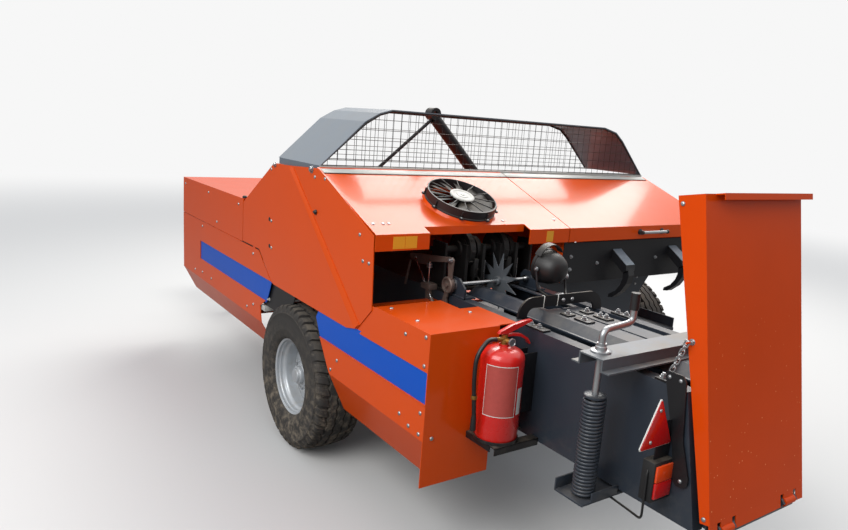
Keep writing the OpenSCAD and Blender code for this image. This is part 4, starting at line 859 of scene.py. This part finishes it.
KNOTTERS_X = (0.604, 0.808)
knots = bmesh.new()
for x in KNOTTERS_X:
    there = facing(at(x - 0.046, -0.61, 1.145), LEFT)
    add_turned(knots, [(0, 0), (0.06, 0), (0.064, 0.006), (0.04, 0.012), (0.036, 0.022), (0.018, 0.026),
                       (0, 0.026)], there, 32)
    for tooth in spread(there, 10):
        add_box(knots, (0.07, -0.006, -0.03), (0.089, 0.006, -0.008), 0.002, tooth)
    add_box(knots, at(x - 0.012, -0.69, 1.02), at(x + 0.012, -0.65, 1.11), 0.004)
    add_rod(knots, at(x, -0.672, 1.01), at(x, -0.7, 1.065), 0.009, 12, 0.004)
    add_rod(knots, at(x + 0.028, -0.6, 1.06), at(x + 0.028, -0.69, 1.0), 0.006, 10)
make_piece("knotter_cams", knots, CAST)
coil_turns = [i * math.tau / 14 for i in range(14 * 14)]
make_wire("knotter_springs", [[at(x + 0.066, -0.66, 1.0) + on_circle(0.009, turn, 0.0011 * turn)
                               for turn in coil_turns] for x in KNOTTERS_X], 0.0013, ZINC, sides=1)


# Lamp hoop, clamps on the rails and the work lamp

ARCH_Y, ARCH_X0, ARCH_X1 = -1.15, 0.466, 0.962
ARCH_TOP, ARCH_FOOT = 1.045, 0.9603
ARCH_R, ARCH_BAND, ARCH_LEG = 0.08, 0.046, 0.05


def hoop_corner(x, top, radius, first, last, steps=8):
    """Points of one rounded corner of the hoop: an arc under its top, between two angles in degrees."""
    turns = [math.radians(first + (last - first) * k / steps) for k in range(steps + 1)]
    return [at(x + radius * math.cos(turn), ARCH_Y, top - radius + radius * math.sin(turn))
            for turn in turns]


hoop = bmesh.new()
inner_r, inner_top = ARCH_R - ARCH_BAND, ARCH_TOP - ARCH_BAND
inner_x0, inner_x1 = ARCH_X0 + ARCH_LEG, ARCH_X1 - ARCH_LEG
foot = [at(x, ARCH_Y, ARCH_FOOT) for x in (ARCH_X0, ARCH_X1, inner_x1, inner_x0)]
add_outline(hoop, [foot[0], *hoop_corner(ARCH_X0 + ARCH_R, ARCH_TOP, ARCH_R, 180, 90),
                   *hoop_corner(ARCH_X1 - ARCH_R, ARCH_TOP, ARCH_R, 90, 0), *foot[1:3],
                   *hoop_corner(inner_x1 - inner_r, inner_top, inner_r, 0, 90),
                   *hoop_corner(inner_x0 + inner_r, inner_top, inner_r, 90, 180), foot[3]], FRONT * 0.01,
                   0.001)
make_piece("lamp_hoop", hoop, BLACK, stands_for=("arch_bar",))

BEAM_X, RAILS_X = (0.762, 0.65), (0.45, 0.962)
BEAM_FACE, CLAMP_TOP, BEAM_CLAMP_TOP = 0.9853, 0.968, 0.992
arch_bolts = bmesh.new()
for x in (0.717, 0.77):
    add_dome(arch_bolts, at(x, ARCH_Y, 1.02), REAR, 0.009, 0.006)
for x in RAILS_X:
    for y in (-1.246, -1.292, -1.87):
        add_hex(arch_bolts, at(x, y, CLAMP_TOP), UP, 0.01, 0.008, 0.006)
for x, y in ((0.762, -1.247), (0.762, -1.32), (0.762, -1.352), (0.65, -1.247), (0.65, -1.336)):
    add_hex(arch_bolts, at(x, y, BEAM_CLAMP_TOP), UP, 0.01, 0.008, 0.006)
make_piece("clamp_bolts", arch_bolts, ZINC)
clamps = bmesh.new()
for row, half, low, high, lengths in (
        (BEAM_X, 0.022, BEAM_FACE, BEAM_CLAMP_TOP, ((-1.27, -1.222), (-1.376, -1.3))),
        (RAILS_X, 0.021, RAIL_TOP, CLAMP_TOP, ((-1.335, -1.222), (-1.915, -1.85)))):
    for x in row:
        for y0, y1 in lengths:
            add_box(clamps, at(x - half, y0, low), at(x + half, y1, high), 0.0015)
make_piece("clamp_plates", clamps, BLACK)
TIE = ((-1.1515, 0.998), (-1.1525, 1.045), (-1.145, 1.0475), (-1.1385, 1.045), (-1.1385, 0.998),
       (-1.145, 0.996))
ties = [[at(x, y, z) for y, z in TIE] for x in (0.603, 0.683)]
make_wire("cable_ties", ties, 0.0018, WHITE_PLASTIC, closed=True, sides=1)

LAMP = at(0.7, -1.08, 1.143)
lamp_tilt = Matrix.Rotation(math.radians(-84), 4, "X")
lamp_frame = Matrix.Translation(LAMP) @ lamp_tilt @ Matrix.Diagonal((1, 1.25, 1, 1))
make_piece("lamp_housing", turned([
    (0, -0.062), (0.03, -0.059), (0.046, -0.05), (0.058, -0.036), (0.068, -0.012), (0.073, 0.015),
    (0.075, 0.034), (0.078, 0.036), (0.078, 0.049), (0.074, 0.05), (0.07, 0.044), (0, 0.044)], lamp_frame,
    64), BLACK_PLASTIC, stands_for=("work_lamp",))
lens = turned([(0.0695, 0.0445), (0.06, 0.0475), (0.03, 0.049), (0, 0.0495)], lamp_frame, 48)
make_piece("lamp_lens", lens, LENS_CLEAR)
cover = bmesh.new()
for k in range(13):
    for radius in (0.0785, 0.082):
        for depth in (0.012, 0.047):
            cover.verts.new(lamp_frame @ on_circle(radius, -math.radians(40 + 9 * k), depth))
cover.verts.ensure_lookup_table()
for k in range(12):
    a, b = cover.verts[4 * k:4 * k + 4], cover.verts[4 * k + 4:4 * k + 8]
    for i, j in ((0, 1), (1, 3), (3, 2), (2, 0)):
        cover.faces.new((a[i], a[j], b[j], b[i]))
for end in (0, 48):
    cover.faces.new([cover.verts[end + j] for j in (0, 1, 3, 2)])
make_piece("lamp_strap", cover, BLACK_PLASTIC)
stirrup = rounded(near(LAMP, (-0.083, 0.01, 0), (-0.083, -0.01, -0.085), (-0.04, -0.062, -0.118),
                       (0.04, -0.062, -0.118), (0.083, -0.01, -0.085), (0.083, 0.01, 0)), 0.03)
make_wire("lamp_stirrup", [stirrup], 0.0055, BLACK, sides=2)
lamp_bolts = bmesh.new()
for axis in (LEFT, RIGHT):
    add_hex(lamp_bolts, LAMP + axis * 0.08 + FRONT * 0.01, axis, 0.008, 0.006, 0.003)
add_turned(lamp_bolts, [(0, 0), (0.012, 0), (0.013, 0.003), (0.013, 0.01), (0.01, 0.014), (0, 0.014)],
           facing(LAMP + Vector((0.062, -0.02, -0.034)), (0.85, -0.5, -0.15)), 20)
add_box(lamp_bolts, *near(LAMP, (-0.022, -0.068, -0.125), (0.022, -0.052, -0.095)), 0.003)
make_piece("lamp_bolts", lamp_bolts, ZINC)

# Extinguisher with its hose, the lamps' cable, reflectors, tail lamps and straps

EXT = at(0.278, -1.29, 0.555)
EXT_R = 0.0845
ext_frame = Matrix.Translation(EXT)
make_piece("extinguisher_bottle", turned([
    (0, 0.006), (0.06, 0.006), (0.066, 0), (0.08, 0), (0.0832, 0.006), (0.0832, 0.026), (EXT_R, 0.029),
    (EXT_R, 0.312), (0.0832, 0.324), (0.0785, 0.335), (0.069, 0.345), (0.053, 0.353), (0.033, 0.358),
    (0.02, 0.36), (0.019, 0.368), (0, 0.368)], ext_frame, 72), RED_PAINT, stands_for=("extinguisher",),
    smooth=30.0)
neck = turned([(0, 0.366), (0.015, 0.366), (0.015, 0.374), (0.019, 0.376), (0.019, 0.384), (0.012, 0.388),
               (0.012, 0.404), (0, 0.404)], ext_frame)
add_rod(neck, *near(EXT, (-0.004, 0, 0.386), (-0.04, 0, 0.388)), 0.009)
add_rod(neck, *near(EXT, (0, -0.006, 0.382), (0.006, -0.032, 0.382)), 0.01, 20)
make_piece("extinguisher_valve", neck, BRASS)
make_piece("extinguisher_gauge", turned([
    (0, 0), (0.014, 0), (0.016, 0.003), (0.016, 0.009), (0.0135, 0.01), (0.0125, 0.008), (0, 0.008)],
    facing(EXT + Vector((0.006, -0.03, 0.382)), REAR), 28), ZINC)
levers = bmesh.new()
for half, outline in (
        (0.009, ((-0.034, 0.41), (-0.026, 0.42), (0.03, 0.44), (0.088, 0.45), (0.124, 0.452),
                 (0.127, 0.446), (0.07, 0.428), (0.01, 0.409))),
        (0.008, ((-0.01, 0.394), (0.03, 0.397), (0.074, 0.39), (0.108, 0.372), (0.124, 0.352),
                 (0.129, 0.357), (0.112, 0.38), (0.077, 0.4), (0.03, 0.407), (-0.01, 0.404)))):
    add_outline(levers, near(EXT, *((x, -half, z) for x, z in outline)), FRONT * 2 * half, 0.0015)
make_piece("extinguisher_levers", levers, RED_PAINT)


def wrapped(shape, low, high, first, last, radius, thick=0.0004, steps=24):
    """A thin patch on the bottle between two heights and two angles in degrees."""
    rows = []
    for k in range(steps + 1):
        angle = math.radians(first + (last - first) * k / steps)
        rows.append([shape.verts.new(EXT + on_circle(radius, angle, z)) for z in (low, high)])
    faces = [shape.faces.new((a[0], b[0], b[1], a[1])) for a, b in zip(rows, rows[1:])]
    bmesh.ops.solidify(shape, geom=faces, thickness=thick)


panel = bmesh.new()
wrapped(panel, 0.108, 0.3, -171, -88, EXT_R + 0.0006)
make_piece("extinguisher_label", panel, LABEL_RED)
marks = bmesh.new()
for low, high, first, last in ((0.104, 0.107, -173, -86), (0.301, 0.304, -173, -86),
                               (0.104, 0.304, -173, -171.5), (0.104, 0.304, -87.5, -86),
                               (0.11, 0.215, -80, -62)):
    wrapped(marks, low, high, first, last, EXT_R + 0.0009)
make_piece("extinguisher_marks", marks, WHITE_PLASTIC)
cradle = boxes(
    ((0.206, -1.345, 0.541), (0.236, -1.125, 0.5465), 0.0015),
    ((0.206, -1.345, 0.52), (0.211, -1.125, 0.5465), 0.0015),
    ((0.206, -1.375, 0.541), (0.4275, -1.335, 0.5465), 0.0015),
    ((0.206, -1.375, 0.5165), (0.4275, -1.37, 0.5465), 0.0015),
    ((0.236, -1.275, 0.541), (0.4275, -1.235, 0.5465), 0.0015),
    ((0.36, -1.32, 0.64), (0.4275, -1.316, 0.88), 0.001),
    ((0.36, -1.264, 0.64), (0.4275, -1.26, 0.88), 0.001))
add_turned(cradle, [(0.07, -0.0085), (EXT_R + 0.003, -0.0085), (EXT_R + 0.003, 0.004),
                    (EXT_R + 0.001, 0.004), (EXT_R + 0.001, -0.005), (0.07, -0.005), (0.07, -0.0085)],
                    ext_frame, 64)
make_piece("extinguisher_cradle", cradle, BLACK)
make_piece("hose_clip", turned([(0, 0), (0.0115, 0), (0.012, 0.002), (0.012, 0.012), (0.0115, 0.014),
                                (0, 0.014)],
                               facing(at(0.1545, -1.29, 0.722), UP), 20), BRASS)
nozzle_piece = make_piece("extinguisher_nozzle", turned(
    [(0, 0), (0.011, 0), (0.012, 0.004), (0.0105, 0.04), (0.0085, 0.06), (0, 0.06)],
    facing(at(0.162, -1.29, 0.596), UP), 20), BLACK_PLASTIC)

hose_route = rounded(near(EXT, (-0.04, 0, 0.388), (-0.078, 0, 0.392)) + places(
    (0.15, -1.29, 0.895), (0.146, -1.29, 0.81), (0.154, -1.29, 0.73), (0.162, -1.29, 0.656)), 0.045, 8)


hose = make_wire("extinguisher_hose", [hose_route], 0.0085, BLACK_PLASTIC, sides=3)

cable_route = rounded(places(
    (0.402, -1.74, 0.5055), (0.4, -1.79, 0.503), (0.392, -1.84, 0.504), (0.378, -1.885, 0.51),
    (0.357, -1.922, 0.521), (0.339, -1.941, 0.545), (0.3305, -1.946, 0.585), (0.3305, -1.945, 0.645),
    (0.3305, -1.944, 0.69), (0.336, -1.942, 0.706)), 0.03, 6)
cable = make_wire("tail_lamp_cable", [cable_route], 0.004, BLACK_PLASTIC, sides=3)

FITTING_Y = -1.945
CORNER_CUT = 0.05
triangles, rims, ref_bolts = bmesh.new(), bmesh.new(), bmesh.new()
for x, way in both_sides(0.343):
    corners = [Vector((x - 0.08, 0.783)), Vector((x + 0.08, 0.783)), Vector((x, 0.948))]
    middle = Vector((x, 0.838))
    for grow, shape, back, front in ((0.96, triangles, 0.0, 0.0065), (1.0, rims, 0.001, 0.0045)):
        outline = []
        for i, sharp in enumerate(corners):
            for other in (corners[i - 1], corners[(i + 1) % 3]):
                cut = middle + (sharp.lerp(other, CORNER_CUT) - middle) * grow
                outline.append(at(cut.x, FITTING_Y - 0.001 - back, cut.y))
        add_outline(shape, outline, REAR * (front - back), 0.0008)
    for bolt_x, z in ((x, 0.905), (x - 0.03 * way, 0.806)):
        add_dome(ref_bolts, at(bolt_x, FITTING_Y - 0.0075, z), REAR, 0.006, 0.004)
make_piece("reflector_plates", triangles, RED_LENS, stands_for=("reflectors",))
make_piece("reflector_rims", rims, WHITE_PLASTIC)
make_piece("reflector_bolts", ref_bolts, ZINC)

housings, amber, red, ref_arms = bmesh.new(), bmesh.new(), bmesh.new(), bmesh.new()
for x, way in both_sides(0.335):
    x0, x1 = sorted((x, x + 0.0925 * way))
    add_box(housings, at(x0, -1.966, 0.6), at(x1, -1.919, 0.736), 0.004)
    for shape, z0, z1 in ((red, 0.614, 0.668), (amber, 0.67, 0.724)):
        add_box(shape, at(x0 + 0.007, -1.973, z0), at(x1 - 0.005, -1.964, z1), 0.003)
    arm0, arm1 = sorted((x + 0.02 * way, x + 0.0925 * way))
    add_box(ref_arms, at(arm0, FITTING_Y, 0.732), at(arm1, FITTING_Y + 0.004, 0.86), 0.001)
make_piece("tail_lamp_housings", housings, BLACK_PLASTIC, stands_for=("tail_lamps",))
make_piece("amber_lenses", amber, AMBER_LENS)
make_piece("red_lenses", red, RED_LENS)
make_piece("reflector_arms", ref_arms, BLACK)

STRAP_T = 0.006
straps, strap_bolts = bmesh.new(), bmesh.new()
for (wall, inward), outside in zip(both_sides(0.418), (LEFT, RIGHT)):
    x = min(wall, wall + inward * STRAP_T)
    add_plate(straps, x, STRAP_T, (
        (-1.898, 0.99), (-1.905, 1.008), (-1.96, 1.008), (-1.974, 0.99), (-1.992, 0.805), (-2.03, 0.69),
        (-2.028, 0.668), (-2.012, 0.655), (-1.99, 0.655), (-1.976, 0.668), (-1.955, 0.79)), 0.001)
    for y, z in ((-1.914, 0.99), (-1.955, 0.99), (-2.004, 0.676)):
        add_dome(strap_bolts, at(wall, y, z), outside, 0.007)
    middle = at(x + STRAP_T / 2, -1.935, 0.965)
    add_rod(straps, middle, middle - outside * 0.02, 0.008, 12)
make_piece("chute_straps", straps, BLACK)
make_piece("strap_bolts", strap_bolts, ZINC)

# Cage mesh and its frame, the feeder arms' faces

CAGE_Z0, CAGE_X1 = 1.4823, 2.325
CAGE_ENDS = (-0.186, 0.292)
MESH_STEP = 0.05


def cage_height(x):
    """Height of the cage's inner outline at x, from the same corners as its end sheets."""
    corners = [(0.027, CAGE_Z0), (0.254, 1.695), (0.332, 1.7405), (0.4, 1.76), (CAGE_X1 - 0.395, 1.76),
               (CAGE_X1 - 0.287, 1.7355), (CAGE_X1 - 0.219, 1.6865), (CAGE_X1 - 0.008, CAGE_Z0)]
    for (x0, z0), (x1, z1) in zip(corners, corners[1:]):
        if x0 <= x <= x1:
            return z0 + (z1 - z0) * (x - x0) / (x1 - x0)
    return CAGE_Z0


wires, frame_runs = [], []
for y in CAGE_ENDS:
    x = 0.06
    while x < CAGE_X1 - 0.03:
        wires.append([at(x, y, CAGE_Z0 - 0.002), at(x, y, cage_height(x))])
        x += MESH_STEP
    z = CAGE_Z0 + 0.03
    while z < 1.755:
        inside = [x for x in (0.03 + 0.005 * i for i in range(460)) if cage_height(x) > z]
        wires.append([at(inside[0], y - 0.0025, z), at(inside[-1], y - 0.0025, z)])
        z += MESH_STEP
    frame_runs.append([at(x, y, z) for x, z in (
        (0.03, CAGE_Z0 + 0.004), (0.256, 1.69), (0.334, 1.737), (0.402, 1.757), (CAGE_X1 - 0.397, 1.757),
        (CAGE_X1 - 0.289, 1.732), (CAGE_X1 - 0.221, 1.683), (CAGE_X1 - 0.012, CAGE_Z0 + 0.004))])
make_wire("cage_wires", wires, 0.00145, BLACK, stands_for=("cage_mesh",), sides=0)
make_wire("cage_frame", frame_runs, 0.0055, BLACK, closed=True, sides=2)

arm_faces = bmesh.new()
for x in (1.474, 1.944):
    add_plate(arm_faces, x + 0.002, 0.066, ((-0.747, 1.13), (-0.8473, 1.0635), (-0.848, 1.0652),
                                            (-0.747, 1.132)))
make_piece("tine_arm_faces", arm_faces, SHEET_GREY)

# Handle of the right hood

bar_ends = bmesh.new()
for x in (1.64, 1.85):
    add_turned(bar_ends, [(0, -0.006), (0.0105, -0.006), (0.0115, 0), (0.0105, 0.006), (0, 0.006)],
               facing(at(x, -0.795, 1.223), RIGHT))
for x in (1.654, 1.836):
    add_turned(bar_ends, [(0, 0), (0.016, 0), (0.016, 0.004), (0.01, 0.008), (0, 0.008)],
               facing(at(x, -0.7655, 1.223), REAR))
make_piece("handle_ends", bar_ends, BLACK_PLASTIC, "right_hood")

# Chute: its bolts, the faces of its sill and lip, and what is seen round its hinge

CHUTE_LEAN = math.radians(-10.5)
chute_frame = Matrix.Translation(at(0, -2.116, 0.545)) @ Matrix.Rotation(CHUTE_LEAN, 4, "X")
chute_bolts = bmesh.new()
for x, side in ((0.4349, LEFT), (0.9771, RIGHT)):
    for y, z in ((0.016, 0.046), (0.074, 1.014)):
        add_dome(chute_bolts, chute_frame @ Vector((x, y, z)), side)
add_hex(chute_bolts, chute_frame @ Vector((0.436, 0.048, 0.59)), LEFT, 0.008)
make_piece("chute_bolts", chute_bolts, ZINC, "chute")
sill, lip_face = bmesh.new(), bmesh.new()
for x0, x1 in ((0.435, 0.475), (0.575, 0.837), (0.937, 0.977)):
    add_box(sill, (x0, -0.004, -0.012), (x1, 0, 0.0302), 0.0, chute_frame)
make_piece("chute_sill", sill, CHIPPED_ORANGE, "chute")
add_box(lip_face, (0.485, -0.036, 1.02), (0.992, -0.0335, 1.0402), 0.0, chute_frame)
make_piece("chute_lip_face", lip_face, CHIPPED_ORANGE, "chute")
make_piece("chute_hinge_rail", boxes(((0.445, -2.099, 0.5), (0.967, -2.095, 0.6), 0.001)), ANTHRACITE)
cheeks = bmesh.new()
for x in (0.428, 0.936):
    add_plate(cheeks, x, 0.048, ((-1.9752, 0.53), (-1.9752, 0.96), (-1.977, 0.96), (-2.068, 0.53)))
make_piece("chamber_cheeks", cheeks, ANTHRACITE)

# Pick-up: spring tines, hubs and the gauge wheel's tyre

REEL_Y, REEL_Z = 0.625, 0.42
REEL_X0, REEL_X1, TINES, BARS, BAR_R, TIP_R = 1.06, 2.24, 18, 4, 0.15, 0.262
FIRST_BAR = math.radians(20)
reel_frame = Matrix.Translation(at(0, REEL_Y, REEL_Z))
bar_frames = [reel_frame @ Matrix.Rotation(math.tau * k / BARS + FIRST_BAR, 4, "X") for k in range(BARS)]
COIL_R, COIL_STEPS = 0.017, 8
tine_runs = []
pitch = (REEL_X1 - REEL_X0 - 0.04) / (TINES - 1)
for there in bar_frames:
    for i in range(TINES):
        x = REEL_X0 + 0.02 + i * pitch
        run = []
        for j in range(2 * COIL_STEPS + 1):
            angle = math.tau * j / COIL_STEPS
            across = x - 0.01 + 0.0064 * j / COIL_STEPS
            run.append((across, BAR_R + COIL_R * math.cos(angle), COIL_R * math.sin(angle)))
        run += [(x, BAR_R + 0.03, -0.002), (x, TIP_R - 0.03, -0.006), (x, TIP_R - 0.002, -0.016)]
        tine_runs.append([there @ Vector(place) for place in run])
make_wire("reel_tines", tine_runs, 0.0032, TINE_STEEL, "pickup_reel", sides=1)
reel_parts = bmesh.new()
add_rod(reel_parts, at(0.99, REEL_Y, REEL_Z), at(2.325, REEL_Y, REEL_Z), 0.018, 24)
for there in bar_frames:
    add_rod(reel_parts, there @ Vector((REEL_X0 - 0.016, BAR_R, 0)),
            there @ Vector((REEL_X1 + 0.016, BAR_R, 0)), 0.013)
for x in (REEL_X0 - 0.02, REEL_X1 + 0.012):
    add_turned(reel_parts, [(0, 0), (0.17, 0), (0.17, 0.008), (0.155, 0.008), (0.15, 0.006), (0.06, 0.006),
                            (0.055, 0.014), (0, 0.014)], facing(at(x, REEL_Y, REEL_Z), RIGHT), 64)
make_piece("reel_body", reel_parts, TINE_STEEL, "pickup_reel", ("pickup_reel",))

gauge_frame = facing(at(2.359, 0.76, 0.29), RIGHT)
make_piece("gauge_tyre", turned([
    (0.098, 0.012), (0.12, 0.002), (0.142, 0), (0.153, 0.006), (0.158, 0.016), (0.16, 0.022),
    (0.156, 0.024), (0.156, 0.03), (0.16, 0.032), (0.16, 0.038), (0.156, 0.04), (0.156, 0.046),
    (0.16, 0.048), (0.158, 0.054), (0.153, 0.064), (0.142, 0.07), (0.12, 0.068), (0.098, 0.058),
    (0.098, 0.012)], gauge_frame, 80), TYRE_RUBBER, "gauge_wheel", ("gauge_wheel",), 45.0)
make_piece("gauge_rim", turned([
    (0.0985, 0.01), (0.104, 0.006), (0.1, 0.014), (0.088, 0.02), (0.085, 0.03), (0.04, 0.034),
    (0.034, 0.022), (0.034, 0.008), (0.0125, 0.008), (0.0125, 0.062), (0.034, 0.062), (0.034, 0.048),
    (0.04, 0.04), (0.085, 0.038), (0.088, 0.05), (0.1, 0.056), (0.104, 0.064), (0.0985, 0.06)], gauge_frame,
    64), RIM_SILVER, "gauge_wheel")


# Camera, floor and light

camera = bpy.data.objects.new("camera", bpy.data.cameras.new("camera"))
bpy.context.collection.objects.link(camera)
scene = bpy.context.scene
scene.camera = camera
scene.view_settings.view_transform = "Standard"
camera.data.sensor_width = 36.0
camera.data.lens = 29.49
camera.data.clip_end = 200.0
turn, look_down, lean = math.radians(34.989), math.radians(-11.529), math.radians(-4.22)
forward = Vector((math.sin(turn) * math.cos(look_down), math.cos(turn) * math.cos(look_down),
                  math.sin(look_down)))
level_right = Vector((math.cos(turn), -math.sin(turn), 0.0))
level_down = forward.cross(level_right)
right = math.cos(lean) * level_right + math.sin(lean) * level_down
down = -math.sin(lean) * level_right + math.cos(lean) * level_down
turned_view = Matrix((right, -down, -forward)).transposed().to_4x4()
camera.matrix_world = Matrix.Translation(at(-1.425, -3.16, 1.713)) @ turned_view

BACKDROP = (0.93, 0.93, 0.93, 1.0)
floor_shape = bmesh.new()
bmesh.ops.create_grid(floor_shape, x_segments=1, y_segments=1, size=60.0)
floor_mesh = bpy.data.meshes.new("floor")
floor_shape.to_mesh(floor_mesh)
floor_shape.free()
floor = bpy.data.objects.new("floor", floor_mesh)
bpy.context.collection.objects.link(floor)
floor_look = bpy.data.materials.new("pale_floor")
floor_look.use_nodes = True
paving = floor_look.node_tree.nodes["Principled BSDF"]
fade = Wiring(floor_look.node_tree)
reach = fade.add("ShaderNodeVectorMath", {0: fade.place()}, operation="LENGTH").outputs["Value"]
seen_floor = fade.add("ShaderNodeLightPath").outputs["Is Camera Ray"]
fade.feed(paving, {
    "Base Color": fade.mix(seen_floor, (0.24, 0.23, 0.22, 1.0), (0.56, 0.555, 0.545, 1.0)),
    "Roughness": 0.9, "Specular IOR Level": 0.1})
blend_far = fade.add("ShaderNodeMixShader", {
    0: fade.product(fade.steps(reach, 4.0, 14.0), seen_floor), 1: paving.outputs["BSDF"],
    2: fade.add("ShaderNodeEmission", {"Color": BACKDROP}).outputs["Emission"]})
fade.feed(floor_look.node_tree.nodes["Material Output"], {"Surface": blend_far.outputs["Shader"]})
floor_mesh.materials.append(floor_look)

world = bpy.data.worlds.new("studio")
scene.world = world
world.use_nodes = True
sky = Wiring(world.node_tree)
height = sky.part(sky.add("ShaderNodeTexCoord").outputs["Generated"], "Z")
ray = sky.add("ShaderNodeLightPath").outputs
dome = sky.mix(sky.steps(height, -0.1, 0.8), (0.34, 0.34, 0.34, 1.0), (0.8, 0.85, 0.92, 1.0))
mirrored = sky.mix(sky.steps(height, 0.02, 0.25), (0.25, 0.25, 0.25, 1.0), (1.0, 1.0, 1.0, 1.0))
dome = sky.mix(ray["Is Glossy Ray"], dome, mirrored)
backed = sky.mix(ray["Is Camera Ray"], dome, BACKDROP)
sky.feed(world.node_tree.nodes["Background"], {"Color": backed, "Strength": 1.0})


def lamp(name, place, target, size, watts, colour):
    """A square soft light that looks at its target."""
    light = bpy.data.lights.new(name, "AREA")
    light.size = size
    light.energy = watts
    light.color = colour
    holder = bpy.data.objects.new(name, light)
    bpy.context.collection.objects.link(holder)
    holder.location = place
    holder.rotation_euler = (Vector(target) - Vector(place)).to_track_quat("-Z", "Y").to_euler()


lamp("key_light", (3.0, 2.2, 6.0), (0.0, -0.5, 0.8), 5.0, 570, (1.0, 0.97, 0.93))
lamp("fill_light", (-5.4, -2.6, 4.4), (0.0, -0.5, 0.8), 4.0, 285, (1.0, 0.99, 0.97))
